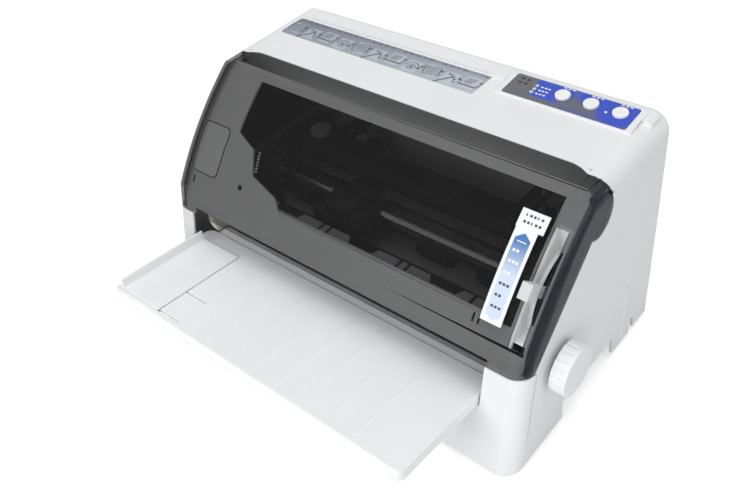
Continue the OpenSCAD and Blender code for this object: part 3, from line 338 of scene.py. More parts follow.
CASE_WHITE = (0.80, 0.805, 0.81)
WHITE = plastic("white_parts", CASE_WHITE, 0.42)
# Case plastic with painted shade in the printing bay and on the ledge round it
WHITE_CASE_PAINTED_SHADE = case_plastic_with_painted_shade("white_case_painted_shade", CASE_WHITE)
# A lighter copy of the white plastic: painted light on the paper table, its lip, the edge guide and the
# lever's channel
WHITE_PAINTED_LIGHT = plastic("white_tray_painted_light", (0.87, 0.875, 0.88), 0.42)
# The copy lever's white plastic made grey: painted shade
LEVER_PAINTED_SHADE = plastic("lever_white_painted_shade", (0.60, 0.605, 0.61), 0.35, grain=900, depth=0.00001)
WHITE_SMOOTH = plastic("white_knobs", (0.84, 0.845, 0.85), 0.3, grain=900, depth=0.00001)
BASE = plastic("grey_white_base", (0.62, 0.63, 0.64), 0.5)
SMOKE = smoked("smoked_clear", (0.018, 0.018, 0.018), 0.37)
SMOKE_EDGE = smoked("smoked_rim", (0.014, 0.016, 0.030), 0.74, 0.12, 0.3)
RUBBER = plastic("rubber", (0.018, 0.018, 0.019), 0.75, 0.3, 900, 0.00004)
ROLLER = plastic("roller_rubber", (0.022, 0.022, 0.024), 0.6, 0.3, 1400, 0.00003)
BLACK = plastic("black_plastic", (0.016, 0.016, 0.018), 0.4, 0.25, 1800, 0.00003)
BLACK_STEEL = plastic("blackened_steel", (0.022, 0.022, 0.024), 0.42, 0.3, 1200, 0.00001)
GUIDE_STEEL = plastic("painted_guide", (0.42, 0.42, 0.44), 0.5, 0.08, 1200, 0.00001)
GREY = plastic("grey_plastic", (0.20, 0.205, 0.21), 0.45, 0.1)
GEAR = plastic("gear_plastic", (0.72, 0.71, 0.66), 0.35, 0.05, 1200, 0.00001)
STEEL = metal("zinc_sheet", (0.50, 0.51, 0.52))
SHAFT = metal("ground_shaft", (0.62, 0.63, 0.64), 0.18, (14, 1, 1), 300)
MOTOR = metal("motor_can", (0.20, 0.20, 0.21), 0.38)
HEAD = metal("cast_head", (0.22, 0.225, 0.23), 0.45, (1, 1, 1), 900)
BRONZE = metal("sintered_bronze", (0.50, 0.34, 0.17), 0.4, (1, 1, 1), 1500)
BOARD = circuit("green_board", (0.012, 0.10, 0.04), (0.05, 0.20, 0.08))
SUPPLY = circuit("brown_board", (0.24, 0.15, 0.06), (0.30, 0.20, 0.09))
RIBBON = fabric("ink_ribbon_cloth", (0.03, 0.03, 0.035))
LENS = plastic("lens_clear", (0.55, 0.66, 0.50), 0.12, 0.05, 400, 0.000005)
FILM = printed("printed_film")
INK = plastic("print_ink", (0.07, 0.075, 0.085), 0.5, 0.2, 3000, 0.000005)
WHITE_INK = plastic("white_ink", (0.82, 0.84, 0.90), 0.5, 0.02, 3000, 0.000005)

FINISH = {
    "lower_case": BASE, "rubber_feet": RUBBER, "timing_belt": RUBBER, "front_feed_roller": ROLLER,
    "rear_feed_roller": ROLLER, "front_pressure_rollers": ROLLER, "rear_pressure_rollers": ROLLER,
    "screws": STEEL, "side_frame_left": BLACK_STEEL, "side_frame_right": BLACK_STEEL,
    "mechanism_base": STEEL, "lower_paper_guide": GUIDE_STEEL, "front_guide_strip": GUIDE_STEEL,
    "guide_rail": STEEL,
    "carriage_shaft": SHAFT, "tractor_drive_shaft": SHAFT, "tractor_guide_shaft": SHAFT,
    "belt_pulley": SHAFT, "idler_pulley": SHAFT, "flat_platen": RUBBER, "carriage": BLACK,
    "print_head": HEAD, "ribbon_cartridge": BLACK, "ribbon_knob": GREY, "ink_ribbon": RIBBON,
    "tractor_left": BLACK, "tractor_right": BLACK, "tractor_gate_left": BLACK,
    "tractor_gate_right": BLACK, "power_inlet": BLACK, "power_switch": BLACK, "feed_motor": MOTOR,
    "carriage_motor": MOTOR, "feed_gear": GEAR, "rear_feed_gear": GEAR, "feed_idler_gear": GEAR,
    "tractor_gear": GEAR, "tractor_idler_gear": GEAR, "sprocket_left": GEAR, "sprocket_right": GEAR,
    "shaft_bushes": BRONZE, "feed_pinion": BRONZE, "main_board": BOARD, "panel_board": BOARD,
    "power_supply": SUPPLY, "indicator_lenses": LENS,
}


# ---- Pieces ----

def link(piece, body):
    bpy.context.scene.collection.objects.link(piece)
    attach(piece, body)
    return piece


def merge_points(mesh):
    """Join points at one place and turn all faces outwards."""
    bm = bmesh.new()
    bm.from_mesh(mesh)
    bmesh.ops.remove_doubles(bm, verts=bm.verts, dist=0.0000005)
    bmesh.ops.recalc_face_normals(bm, faces=bm.faces)
    bm.to_mesh(mesh)
    bm.free()


def finish_mesh(mesh, angle):
    """Smooth faces, with edges sharper than angle kept sharp."""
    bm = bmesh.new()
    bm.from_mesh(mesh)
    for face in bm.faces:
        face.smooth = True
    for edge in bm.edges:
        edge.smooth = len(edge.link_faces) == 2 and edge.calc_face_angle(0) < math.radians(angle)
    bm.to_mesh(mesh)
    bm.free()


def room_beside(edge):
    """How far the faces beside an edge reach from its ends, so that a bevel fits there."""
    along = (edge.verts[1].co - edge.verts[0].co).normalized()
    room = 1.0
    for vert in edge.verts:
        for other in vert.link_edges:
            way = other.other_vert(vert).co - vert.co
            across = way.cross(along).length
            if other != edge and across > 0.55 * way.length:
                room = min(room, across)
    return room


def stray_places(piece, shape, reach):
    """Places on a shape from which the rounded mesh strays, where its bevels have folded."""
    mesh = piece.evaluated_get(bpy.context.evaluated_depsgraph_get()).to_mesh()
    nearest = [shape.find_nearest(vert.co) for vert in mesh.vertices]
    return [place for place, _, _, distance in nearest if distance > reach]


def calm_bevels(piece, shape, width):
    """Leave edges sharp where their bevels fold."""
    mesh = piece.data
    corners = KDTree(len(mesh.vertices))
    for vert in mesh.vertices:
        corners.insert(vert.co, vert.index)
    corners.balance()
    weights = mesh.attributes["bevel_weight_edge"].data
    for reach in (0.0015, 0.0030, 0.0045, 0.0060):
        near = set()
        for place in stray_places(piece, shape, 0.5 * width):
            near |= {index for _, index, _ in corners.find_range(place, reach)}
            near.add(corners.find(place)[1])
        if not near:
            return
        for edge in mesh.edges:
            if near.intersection(edge.vertices):
                weights[edge.index].value = 0.0
        mesh.update()
        piece.update_tag()


def mark_bevels(bm, width, angle, sharp):
    """Give each sharp edge its bevel, as a part of the full width that fits there."""
    weight = bm.edges.layers.float.new("bevel_weight_edge")
    for edge in bm.edges:
        if sharp and sharp(edge):
            continue
        if len(edge.link_faces) == 2 and edge.calc_face_angle(0) > math.radians(angle):
            edge[weight] = min(1.0, BEVEL_PART * room_beside(edge) / width)


def bevel_piece(piece, shape, width, segments):
    bevel = piece.modifiers.new("edges", "BEVEL")
    bevel.width = width
    bevel.segments = segments
    bevel.limit_method = "WEIGHT"
    bevel.use_clamp_overlap = False
    bevel.harden_normals = True
    calm_bevels(piece, shape, width)
    weighted = piece.modifiers.new("normals", "WEIGHTED_NORMAL")
    weighted.keep_sharp = True


def rounded(node, material, width=0.0005, angle=28, segments=2, reshape=None, sharp=None):
    """A node's shape with its sharp edges rounded off, in the node's place."""
    piece = bpy.data.objects.new(node + "_body", NODES[node].data.copy())
    bm = bmesh.new()
    bm.from_mesh(piece.data)
    bmesh.ops.remove_doubles(bm, verts=bm.verts, dist=0.000004)
    bmesh.ops.dissolve_limit(bm, angle_limit=math.radians(0.4), verts=bm.verts, edges=bm.edges)
    if reshape:
        reshape(bm)
    mark_bevels(bm, width, angle, sharp)
    shape = BVHTree.FromBMesh(bm)
    bm.to_mesh(piece.data)
    bm.free()
    finish_mesh(piece.data, angle)
    piece.data.materials.clear()
    piece.data.materials.append(material)
    link(piece, BODY_OF[node])
    bevel_piece(piece, shape, width, segments)
    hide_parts(node)
    return piece


def mesh_piece(name, points, faces, material, body, angle=30):
    mesh = bpy.data.meshes.new(name)
    mesh.from_pydata([tuple(p) for p in points], [], faces)
    merge_points(mesh)
    finish_mesh(mesh, angle)
    mesh.materials.append(material)
    return link(bpy.data.objects.new(name, mesh), body)


def rounded_outline(width, depth, radius, steps=6):
    """Points round a rectangle with rounded corners, its low corner at 0, 0."""
    points = []
    corners = ((width - radius, radius, -90), (width - radius, depth - radius, 0),
               (radius, depth - radius, 90), (radius, radius, 180))
    for cx, cy, start in corners:
        for i in range(steps + 1):
            a = math.radians(start + 90 * i / steps)
            points.append((cx + radius * math.cos(a), cy + radius * math.sin(a)))
    return points


def circle_outline(cx, cy, radius, steps=24):
    turn = 2 * math.pi / steps
    return [(cx + radius * math.cos(i * turn), cy + radius * math.sin(i * turn)) for i in range(steps)]


def bar_outline(x0, x1, y0, y1):
    return [(x0, y0), (x1, y0), (x1, y1), (x0, y1)]


def slabs(name, outlines, place, low, high, material, body):
    """Flat prints or plates: each outline stands from low to high above the surface of place."""
    points, faces = [], []
    for outline in outlines:
        first, count = len(points), len(outline)
        points += [place(u, v, low) for u, v in outline] + [place(u, v, high) for u, v in outline]
        faces.append([first + i for i in reversed(range(count))])
        faces.append([first + count + i for i in range(count)])
        for i in range(count):
            k = (i + 1) % count
            faces.append([first + i, first + k, first + count + k, first + count + i])
    return mesh_piece(name, points, faces, material, body)


def steps_between(first, last, count):
    return [first + (last - first) * i / count for i in range(count + 1)]


def print_grid(name, columns, rows, inside, paint, place, low, high, body):
    """Printed film on a fine grid: columns and rows are (first, last, count).

    inside says where the film is, and paint gives the colour at each place on it.
    """
    us = steps_between(*columns)
    vs = steps_between(*rows)
    bm = bmesh.new()
    layer = bm.loops.layers.float_color.new("print")
    grid = {}
    for i, u in enumerate(us):
        for j, v in enumerate(vs):
            grid[i, j] = bm.verts.new(place(u, v, high))
    where = {vert: (us[i], vs[j]) for (i, j), vert in grid.items()}
    for i in range(columns[2]):
        for j in range(rows[2]):
            if inside((us[i] + us[i + 1]) / 2, (vs[j] + vs[j + 1]) / 2):
                bm.faces.new([grid[i, j], grid[i + 1, j], grid[i + 1, j + 1], grid[i, j + 1]])
    loose = [v for v in bm.verts if not v.link_faces]
    bmesh.ops.delete(bm, geom=loose, context="VERTS")
    for face in bm.faces:
        face.smooth = True
        for loop in face.loops:
            loop[layer] = (*paint(*where[loop.vert]), 1)
    mesh = bpy.data.meshes.new(name)
    bm.to_mesh(mesh)
    bm.free()
    mesh.materials.append(FILM)
    piece = link(bpy.data.objects.new(name, mesh), body)
    solid = piece.modifiers.new("thickness", "SOLIDIFY")
    solid.thickness = high - low
    solid.offset = -1
    return piece


def mix(a, b, t):
    t = min(1, max(0, t))
    return tuple(p + (q - p) * t for p, q in zip(a, b))


def soft_step(low, high, value):
    t = min(1, max(0, (value - low) / (high - low)))
    return t * t * (3 - 2 * t)


# ---- Surfaces that prints lie on ----

PANEL_LOW, PANEL_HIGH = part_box("panel_overlay")
LABEL_LOW, LABEL_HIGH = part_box("instruction_label")


def on_slope(x, s, height):
    """Place on the cover: x across, s up along the slope, height above its outer face."""
    flat = SLOPE_LOW + SLOPE_T * s - SLOPE_CENTRE
    y, z = SLOPE_CENTRE + flat.normalized() * (SLOPE_R + height)
    return Vector((x, y, z))


def on_panel(u, v, height):
    """Place on the control panel: u to the right and v to the rear from its front left corner."""
    low = PANEL_LOW
    return Vector((low.x + u, low.y + v * math.cos(PANEL_TILT) - height * math.sin(PANEL_TILT),
                   low.z + v * math.sin(PANEL_TILT) + height * math.cos(PANEL_TILT)))


def on_top(u, v, height):
    """Place on the flat top, from the strip label's front left corner."""
    low = LABEL_LOW
    return Vector((low.x + u, low.y + v, low.z + height))


# ---- Details of the case ----

def corner_radius(x):
    """Radius of the case's wall behind the cover at x mm from the middle."""
    for (x0, r0), (x1, r1) in zip(CORNER, CORNER[1:]):
        if x <= x1:
            return r0 + (r1 - r0) * (x - x0) / (x1 - x0)
    return CORNER[-1][1]


def beside_corner(edge):
    """Edges of the case's pocket at the cover's corners, which the smooth wall stands before."""
    reach = 0.0295
    return all(abs(v.co.x + CASE_MIDDLE) > CORNER_START * MM and v.co.y > PIVOT.x
               and (Vector((v.co.y, v.co.z)) - PIVOT).length < reach for v in edge.verts)


def round_corners(bm):
    """Give the cover's rear corners a smooth curve that keeps clear of the case."""
    for x, radius in CORNER[1:-1]:
        for side in (-1, 1):
            bmesh.ops.bisect_plane(bm, geom=bm.verts[:] + bm.edges[:] + bm.faces[:], dist=0.000001,
                                   plane_co=(side * x * MM - CASE_MIDDLE, 0, 0), plane_no=(1, 0, 0))
    for vert in bm.verts:
        x = abs(vert.co.x + CASE_MIDDLE) / MM
        if CORNER_START < x < CORNER_END and vert.co.y > PIVOT.x + 0.004 and vert.co.z > 0.160:
            limit = (corner_radius(x) - CORNER_GAP) * MM
            rise = vert.co.z - PIVOT.y
            if math.hypot(vert.co.y - PIVOT.x, rise) > limit > abs(rise):
                vert.co.y = PIVOT.x + math.sqrt(limit ** 2 - rise ** 2)


def trough_points(x, radius, levels):
    """Points up the trough's front face and then up its rear face, at x mm from the middle."""
    past_edge = max(0.0, abs(x) - EDGE_START) * MM
    top = EDGE_Z + math.sqrt(EDGE_R ** 2 - past_edge ** 2) - 0.00003
    points = []
    for wall in (0.0, 1.0):
        for i in range(levels + 1):
            z = TROUGH_LOW + (top - TROUGH_LOW) * i / levels
            reach = math.sqrt(max(0.0, (radius * MM) ** 2 - (z - PIVOT.y) ** 2))
            thick = wall * (TROUGH_TOP_WALL if i > levels - 2 else TROUGH_WALL)
            points.append((x * MM - CASE_MIDDLE, PIVOT.x + reach + thick, z))
    return points


def hinge_trough():
    """Curved wall of the case behind and under the cover's swinging rear edge."""
    levels = 14
    spots = [(-x, r) for x, r in reversed(CORNER[1:])] + list(CORNER[1:])
    points, faces = [], []
    for x, radius in spots:
        points += trough_points(x, radius, levels)
    half, row = levels + 1, 2 * (levels + 1)
    for k in range(len(spots) - 1):
        a, b = k * row, (k + 1) * row
        for i in range(levels):
            faces.append([a + i, b + i, b + i + 1, a + i + 1])
            faces.append([a + half + i, a + half + i + 1, b + half + i + 1, b + half + i])
        faces.append([a + levels, b + levels, b + half + levels, a + half + levels])
        faces.append([a, a + half, b + half, b])
    mesh_piece("hinge_trough", points, faces, WHITE, "case")


def table_apron():
    """Rear lip of the paper table, on which the sheet runs up to the rollers."""
    low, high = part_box("paper_table")
    out = Vector((0, -math.cos(TABLE_TILT), math.sin(TABLE_TILT)))
    up = Vector((0, math.sin(TABLE_TILT), math.cos(TABLE_TILT)))
    start = Vector((0, high.y, TABLE_REAR_Z))
    width = high.x - low.x - 2 * LIP_INSET

    def place(u, v, height):
        return Vector((u, 0, 0)) + start - out * v + up * height

    outline = [(low.x + LIP_INSET + u, v - LIP_OVERLAP) for u, v in rounded_outline(width, LIP_DEPTH, 0.002)]
    slabs("paper_table_lip", [outline], place, -0.0022, -0.0006, WHITE_PAINTED_LIGHT, "paper_table")


def on_ledge(x, s, height):
    """Place on the ledge round the printing bay, under the cover. x is from the middle of the case."""
    return on_slope(x - CASE_MIDDLE, s, height - LEDGE_DROP)


def curved_plate(name, across, along, radius, low, high, material):
    """Plate with rounded corners that lies on the curved ledge. across and along are (first, last)."""
    turns = [math.radians(11.25 * i) for i in range(9)]
    first = [(along[0] + radius * (1 - math.cos(a)), radius * (1 - math.sin(a))) for a in turns]
    middle = [(along[0] + (along[1] - along[0]) * i / 12, 0.0) for i in range(3, 10)]
    last = [(along[0] + along[1] - s, inset) for s, inset in reversed(first)]
    points, faces = [], []
    for s, inset in first + middle + last:
        left, right = across[0] + inset, across[1] - inset
        ring = ((left, low), (left, high), (right, high), (right, low))
        points += [on_ledge(x, s, height) for x, height in ring]
    for row in range(0, len(points) - 4, 4):
        for i in range(4):
            k = (i + 1) % 4
            faces.append([row + i, row + 4 + i, row + 4 + k, row + k])
    faces.append([3, 2, 1, 0])
    faces.append([len(points) - 4 + i for i in range(4)])
    return mesh_piece(name, points, faces, material, "case")


def ledge_details():
    """Pad in a groove, screw hole and teeth left of the printing bay, and the cover's catches. The groove
    round the pad and the screw hole are black sheets: painted shade.
    """
    # Black plate a little larger than the pad: a painted shadow line round it
    curved_plate("ledge_pad_groove_painted_shade", (-0.1690, -0.1380), (0.0160, 0.0615), 0.0050, -0.0002, 0.00010, BLACK)
    curved_plate("ledge_pad", (-0.1681, -0.1389), (0.0169, 0.0606), 0.0043, -0.0002, 0.0005, WHITE)
    teeth = []
    for i in range(7):
        aside, down = i * 0.00040, i * 0.0026
        teeth.append(bar_outline(-0.1002 + aside, -0.0986 + aside, 0.0520 - down, 0.0535 - down))
    slabs("ledge_teeth", teeth, on_ledge, -0.0002, 0.0009, WHITE, "case")
    # Black disc for the screw hole: painted shade of the hole. The catches are dark bars.
    holes = [circle_outline(-0.1090, 0.0190, 0.0024)]
    catches = [bar_outline(x, x + 0.0016, 0.0050, 0.0120) for x in (-0.1640, 0.1290, 0.1335)]
    slabs("ledge_dark_marks", holes + catches, on_ledge, -0.0002, 0.00012, BLACK, "case")


# ---- Knob ----

KNOB_HUB_DROP = 0.0080
KNOB_HUB_DEPTH = 0.0020
KNOB_HOLE_R = 0.0040
KNOB_RIM = 0.0013
GROOVE_R = 0.0022
GROOVE_OUT = 0.0017


def knob_profile(back, face, radius):
    """Places along and out from the knob's axis, and how much of the finger grooves is cut there."""
    hole = face - 0.0040
    disc = back + KNOB_HUB_DEPTH
    hub = radius - KNOB_HUB_DROP
    profile = [(hole, 0.0, 0), (hole, KNOB_HOLE_R, 0), (back + 0.0003, KNOB_HOLE_R, 0),
               (back, KNOB_HOLE_R + 0.0003, 0), (back, hub - 0.0003, 0), (back + 0.0003, hub, 0),
               (disc, hub, 0), (disc, radius - 0.0005, 1), (disc + 0.0002, radius - 0.0001, 1),
               (disc + 0.0006, radius, 1), (face - 0.0042, radius, 1), (face - 0.0038, radius, 0.6),
               (face - 0.0034, radius, 0)]
    for i in range(7):
        a = math.radians(15 * i)
        profile.append((face - KNOB_RIM * (1 - math.sin(a)), radius - KNOB_RIM * (1 - math.cos(a)), 0))
    profile.append((face, 0.0, 0))
    return profile


def groove_depth(degree, radius):
    """Depth of the 18 finger grooves at a whole degree round the knob."""
    off = ((degree + 10) % 20 - 10) * math.radians(1) * radius
    return max(0.0, math.sqrt(max(0.0, GROOVE_R ** 2 - off ** 2)) - GROOVE_OUT)


def paper_knob():
    """Turned knob with a soft rim and finger grooves that end before its face."""
    low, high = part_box("feed_knob")
    middle_y, middle_z = (low.y + high.y) / 2, (low.z + high.z) / 2
    radius = (high.y - low.y) / 2
    profile = knob_profile(low.x, high.x, radius)
    points, faces = [], []
    for x, out, groove in profile:
        for degree in range(360):
            reach = out - groove * groove_depth(degree, radius)
            a = math.radians(degree)
            points.append((x, middle_y + reach * math.cos(a), middle_z + reach * math.sin(a)))
    for row in range(len(profile) - 1):
        a, b = row * 360, (row + 1) * 360
        faces += [[a + i, b + i, b + (i + 1) % 360, a + (i + 1) % 360] for i in range(360)]
    piece = mesh_piece("feed_knob_body", points, faces, WHITE_SMOOTH, BODY_OF["feed_knob"])
    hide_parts("feed_knob")


# ---- Prints ----

GREY_FILM = (0.115, 0.12, 0.13)
BLUE_FILM = (0.022, 0.065, 0.50)


def button_middles(low):
    """Middles of the three buttons, from the panel's front left corner."""
    middles = []
    for name in BUTTONS:
        b_low, b_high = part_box(name)
        middles.append(((b_low.x + b_high.x) / 2 - low.x, (b_low.y + b_high.y) / 2 - low.y))
    return middles


def panel_colour(u, v, depth, buttons):
    """Grey film with blue fields round the lamps and the buttons."""
    (x0, _), (x1, _), (x2, _) = buttons
    lamps = soft_step(0.017, 0.021, u - (depth - v) * 0.12) * soft_step(0.0035, 0.006, v)
    lamps *= 1 - soft_step(0.036, 0.050, u)
    first = 1 - soft_step(0.010, 0.019, math.hypot(u - x0 + 0.006, (v - 0.019) * 1.3))
    middle = 1 - soft_step(0.008, 0.017, math.hypot((u - x1) * 0.8, (v - 0.024) * 1.1))
    last = 1 - soft_step(0.013, 0.020, math.hypot((u - x2) * 0.9, (v - 0.016)))
    haze = 0.35 * soft_step(0.03, 0.06, u) * (1 - soft_step(0.0, 0.009, v))
    return mix(mix(GREY_FILM, BLUE_FILM, haze), BLUE_FILM, max(lamps, first, middle, last))


def panel_marks(buttons):
    """Small generic marks: dark ones at the left, rows of light ones by the lamps and the buttons."""
    dark = [bar_outline(x, x + 0.0026, y, y + 0.0022)
            for x in (0.0055, 0.0105) for y in (0.0145, 0.0195)]
    slabs("panel_dark_marks", dark, on_panel, 0.0004, 0.00044, BLACK, "case")
    light = []
    for y in (0.0170, 0.0128, 0.0086):
        light += [bar_outline(0.0245 + k * 0.0030, 0.0245 + k * 0.0030 + 0.0020, y - 0.0007, y + 0.0007)
                  for k in range(3)]
    for x, y in buttons:
        light += [bar_outline(x - 0.004 + k * 0.0034, x - 0.0016 + k * 0.0034, y + 0.0082, y + 0.0094)
                  for k in range(3)]
    x, y = buttons[2]
    light.append(circle_outline(x - 0.0098, y - 0.0035, 0.0011, 16))
    slabs("panel_light_marks", light, on_panel, 0.0004, 0.00044, WHITE_INK, "case")


def control_panel():
    low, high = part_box("panel_overlay")
    width, depth = high.x - low.x, high.y - low.y
    buttons = button_middles(low)
    hole = 0.0062
    corner = 0.002

    def inside(u, v):
        if any((u - x) ** 2 + (v - y) ** 2 < hole ** 2 for x, y in buttons):
            return False
        du = max(corner - u, u - width + corner, 0)
        dv = max(corner - v, v - depth + corner, 0)
        return du * du + dv * dv <= corner ** 2

    def paint(u, v):
        return panel_colour(u, v, depth, buttons)

    film = print_grid("control_panel_film", (0, width, 202), (0, depth, 50), inside, paint,
                      on_panel, 0.00002, 0.0004, "case")
    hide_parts("panel_overlay")
    panel_marks(buttons)


def sticker_marks(left, middle):
    """Short generic bars: dark rows at the foot and the head, light rows in the arrow."""
    dark, light = [], []
    for i, s in enumerate((0.0235, 0.0315, 0.0395, 0.0475, 0.0555, 0.0630)):
        group = light if i > 2 else dark
        for k in range(3 - i % 2):
            x = middle - 0.0040 + k * 0.0029
            group.append(bar_outline(x, x + 0.0020, s - 0.0009, s + 0.0009))
    light.append(bar_outline(middle - 0.0035, middle + 0.0035, 0.0690, 0.0697))
    for row, s in enumerate((0.0872, 0.0825)):
        for k in range(5):
            x = left + 0.0040 + k * 0.0029
            long = 0.0019 if (k + row) % 3 else 0.0011
            dark.append(bar_outline(x, x + long, s - 0.0009, s + 0.0009))
    slabs("sticker_dark_marks", dark, on_slope, 0.00026, 0.00030, INK, "front_cover")
    slabs("sticker_light_marks", light, on_slope, 0.00026, 0.00030, WHITE_INK, "front_cover")


def sticker():
    """Label beside the lever's slot: a narrow strip with an arrow and a wider head."""
    low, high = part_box("cover_sticker")
    x0, x1 = low.x + 0.0005, low.x + 0.0175
    foot, neck, head = 0.012, 0.078, 0.091
    blue, pale, paper = (0.055, 0.175, 0.43), (0.58, 0.66, 0.80), (0.80, 0.83, 0.88)
    margin = 0.0027
    middle = (x0 + x1) / 2

    def inside(x, s):
        return s >= neck or x0 < x < x1

    def paint(x, s):
        off = abs(x - middle)
        tip = 0.0755 - off * 0.72
        tail = 0.0175 - (0.006 - off) * 0.55
        in_arrow = off < (x1 - x0) / 2 - margin and tail < s < tip
        return mix(pale, blue, (s - 0.046) / 0.024) if in_arrow else paper

    film = print_grid("cover_sticker_film", (low.x, high.x, 64), (foot, head, 200), inside, paint,
                      on_slope, 0.00003, 0.00026, "front_cover")
    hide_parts("cover_sticker")
    sticker_marks(low.x, middle)


def sheet_sign(x, y):
    """Generic sheet of paper with lines, seen at a slant."""
    u, v = x + 0.35 * y, y - 0.25 * x
    edge = max(abs(u) / 0.0080, abs(v) / 0.0062)
    lines = abs(u) < 0.0060 and abs(v) < 0.0046 and math.sin(v * 3600) > 0.2
    return 0.86 < edge < 1.0 or lines


def roller_sign(x, y):
    """Generic roller with an arrow over it."""
    ring = math.hypot(x, y + 0.001)
    arrow = 0.0058 < ring < 0.0067 and y > -0.001
    arrow_head = abs(x - 0.0062) + abs(y + 0.0005) < 0.0018
    hub = ring < 0.0016 or 0.0030 < ring < 0.0038
    return arrow or arrow_head or hub


def slot_sign(x, y):
    """Generic tray with a sheet above it."""
    u = x - 0.3 * y
    floor_line = abs(y + 0.0045) < 0.0008 and abs(u) < 0.0085
    walls = abs(abs(u) - 0.0085) < 0.0006 and -0.005 < y < 0.0
    sheet = abs(u + 0.002) < 0.0040 and -0.002 < y < 0.0060 and math.sin((u + y) * 3000) > 0.1
    return floor_line or walls or sheet


def lever_sign(x, y):
    """Generic lever on a quadrant."""
    u, v = x + 0.004, y + 0.004
    ring = math.hypot(u, v)
    scale = 0.0085 < ring < 0.0093
    marks = 0.0093 < ring < 0.0108 and math.sin(math.atan2(v, u) * 18) > 0.2
    arm = abs(u - v * 0.8) < 0.0011 and ring < 0.0085
    return (scale or marks) and x > -0.004 and y > -0.004 or arm


STRIP_LEFT = (0.150, 0.165, 0.215)
STRIP_RIGHT = (0.44, 0.47, 0.52)
STRIP_FIELD = (0.62, 0.65, 0.70)
STRIP_INK = (0.030, 0.033, 0.045)
STRIP_SIGNS = (sheet_sign, roller_sign, slot_sign, lever_sign)
STRIP_CELLS = 11
STRIP_HEADER = 0.0034


def strip_header(u, v, depth, pitch, ground):
    """Rear edge of the label, a little darker, with generic words as bars."""
    words = math.sin(u * 2600) + math.sin(u * 940 + 1) > 0.3 and (u / pitch) % 2 > 0.5
    if words and v < depth - 0.0010:
        return mix(ground, STRIP_INK, 0.75)
    return mix(ground, STRIP_LEFT, 0.5)


def strip_colour(u, v, width, depth):
    pitch = width / STRIP_CELLS
    ground = mix(STRIP_LEFT, STRIP_RIGHT, 0.75 * u / width + 0.45 * (1 - v / depth) - 0.12)
    if v > depth - STRIP_HEADER:
        return strip_header(u, v, depth, pitch, ground)
    cell = int(u / pitch)
    x = u - (cell + 0.5) * pitch
    y = v - depth * (0.36 if cell % 2 else 0.44)
    sign = STRIP_SIGNS[(cell * 3) % 4]
    if sign(x, y):
        return mix(ground, STRIP_INK, 0.85)
    if abs(x) < pitch * 0.36 and abs(y) < depth * 0.30:
        return mix(ground, STRIP_FIELD, 0.38)
    arrow = abs(x - pitch * 0.44) < 0.0016 - abs(y - 0.003) and abs(y - 0.003) < 0.0016
    return STRIP_INK if arrow else ground


def strip_label():
    """Long label with two rows of small generic signs in dark ink."""
    low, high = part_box("instruction_label")
    width, depth = high.x - low.x, high.y - low.y
    corner = 0.003

    def inside(u, v):
        du, dv = max(corner - u, 0), max(corner - v, v - depth + corner, 0)
        return du * du + dv * dv <= corner ** 2

    def paint(u, v):
        return strip_colour(u, v, width, depth)

    film = print_grid("strip_label_film", (0, width, 560), (0, depth, 66), inside, paint, on_top,
                      0.00002, 0.0003, "case")
    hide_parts("instruction_label")


# ---- Camera, light and floor ----

def camera():
    data = bpy.data.cameras.new("camera")
    data.sensor_width = CAMERA_SENSOR
    data.lens = CAMERA_LENS
    data.clip_start, data.clip_end = 0.01, 20
    view = bpy.data.objects.new("camera", data)
    view.location = CAMERA_PLACE
    view.rotation_euler = [math.radians(a) for a in CAMERA_TURN]
    bpy.context.scene.collection.objects.link(view)
    bpy.context.scene.camera = view


def lamp(name, place, size, power, glossy):
    data = bpy.data.lights.new(name, "AREA")
    data.shape = "RECTANGLE"
    data.size, data.size_y = size
    data.energy = power
    light = bpy.data.objects.new(name, data)
    light.location = place
    light.rotation_euler = (Vector(LAMP_TARGET) - Vector(place)).to_track_quat("-Z", "Y").to_euler()
    light.visible_glossy = glossy
    bpy.context.scene.collection.objects.link(light)


def backdrop():
    """World that fills the shadows softly and is white where it is seen."""
    world = bpy.data.worlds.new("studio")
    bpy.context.scene.world = world
    world.use_nodes = True
    tree = world.node_tree
    fill = tree.nodes["Background"]
    fill.inputs["Color"].default_value = FILL_COLOUR
    fill.inputs["Strength"].default_value = FILL_STRENGTH
    bright = node_of(tree, "ShaderNodeBackground")
    bright.inputs["Strength"].default_value = 1.0
    rays = node_of(tree, "ShaderNodeLightPath")
    seen = value_of(tree, "MAXIMUM", rays.outputs["Is Camera Ray"], rays.outputs["Is Transmission Ray"])
    seen = value_of(tree, "MAXIMUM", seen, rays.outputs["Is Glossy Ray"])
    blend = node_of(tree, "ShaderNodeMixShader")
    tree.links.new(seen, blend.inputs["Fac"])
    tree.links.new(fill.outputs[0], blend.inputs[1])
    tree.links.new(bright.outputs[0], blend.inputs[2])
    tree.links.new(blend.outputs[0], tree.nodes["World Output"].inputs["Surface"])


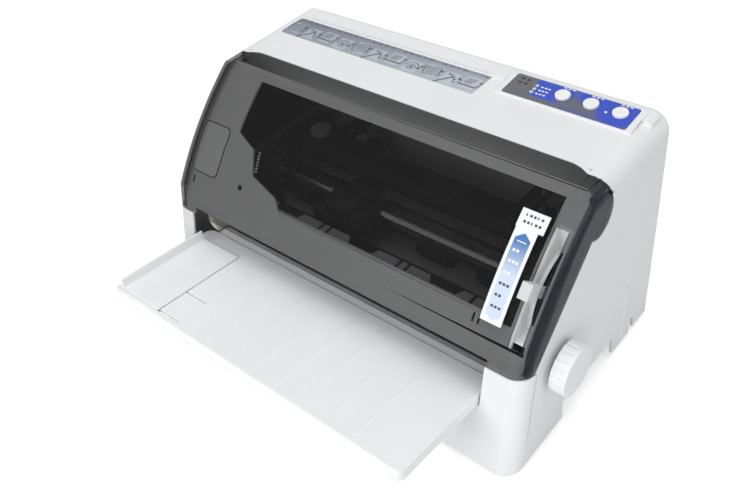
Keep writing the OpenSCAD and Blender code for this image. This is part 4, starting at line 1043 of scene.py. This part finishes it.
def studio():
    for name, place, size, power, glossy in LAMPS:
        lamp(name, place, size, power, glossy)
    backdrop()


def floor():
    reach = FLOOR_REACH
    mesh = bpy.data.meshes.new("floor")
    mesh.from_pydata([(-reach, -reach, 0), (reach, -reach, 0), (reach, reach, 0), (-reach, reach, 0)],
                     [], [(0, 1, 2, 3)])
    material, tree, shader = new_material("floor_white")
    shader.inputs["Base Color"].default_value = (0.80, 0.80, 0.80, 1)
    tree.links.new(between(tree, noise(tree, 3, 2), 0.75, 0.85), shader.inputs["Roughness"])
    shader.inputs["Specular IOR Level"].default_value = 0.1
    rays = node_of(tree, "ShaderNodeLightPath")
    shader.inputs["Emission Color"].default_value = (1, 1, 1, 1)
    glow = value_of(tree, "MULTIPLY", rays.outputs["Is Camera Ray"], FLOOR_GLOW)
    tree.links.new(glow, shader.inputs["Emission Strength"])
    mesh.materials.append(material)
    piece = bpy.data.objects.new("floor", mesh)
    bpy.context.scene.collection.objects.link(piece)


# ---- The whole printer ----

def front_cover():
    """Smoked cover with a denser rim. At the right only its steepest faces are rim."""
    cover = rounded("front_cover", SMOKE, 0.0006, reshape=round_corners)
    cover.data.materials.append(SMOKE_EDGE)
    for face in cover.data.polygons:
        limit = 0.75 if face.center.x > 0 else 0.2
        if abs(face.normal.x) > limit:
            face.material_index = 1


def shells():
    rounded("upper_case", WHITE_CASE_PAINTED_SHADE, 0.0006, sharp=beside_corner)
    front_cover()
    rounded("rear_cover", WHITE, 0.0006)
    rounded("paper_table", WHITE_PAINTED_LIGHT, 0.0005)
    rounded("edge_guide", WHITE_PAINTED_LIGHT, 0.0003)
    rounded("copy_lever", LEVER_PAINTED_SHADE, 0.0006, segments=3)
    rounded("lever_plate", WHITE_PAINTED_LIGHT, 0.0003)
    for name in BUTTONS:
        rounded(name, WHITE_SMOOTH, 0.0007, segments=3)


def plain_nodes():
    for name, material in FINISH.items():
        data = NODES[name].data
        data.materials.clear()
        data.materials.append(material)


camera()
studio()
floor()
shells()
plain_nodes()
paper_knob()
hinge_trough()
table_apron()
ledge_details()
control_panel()
sticker()
strip_label()

scene = bpy.context.scene
scene.view_settings.view_transform = "Standard"
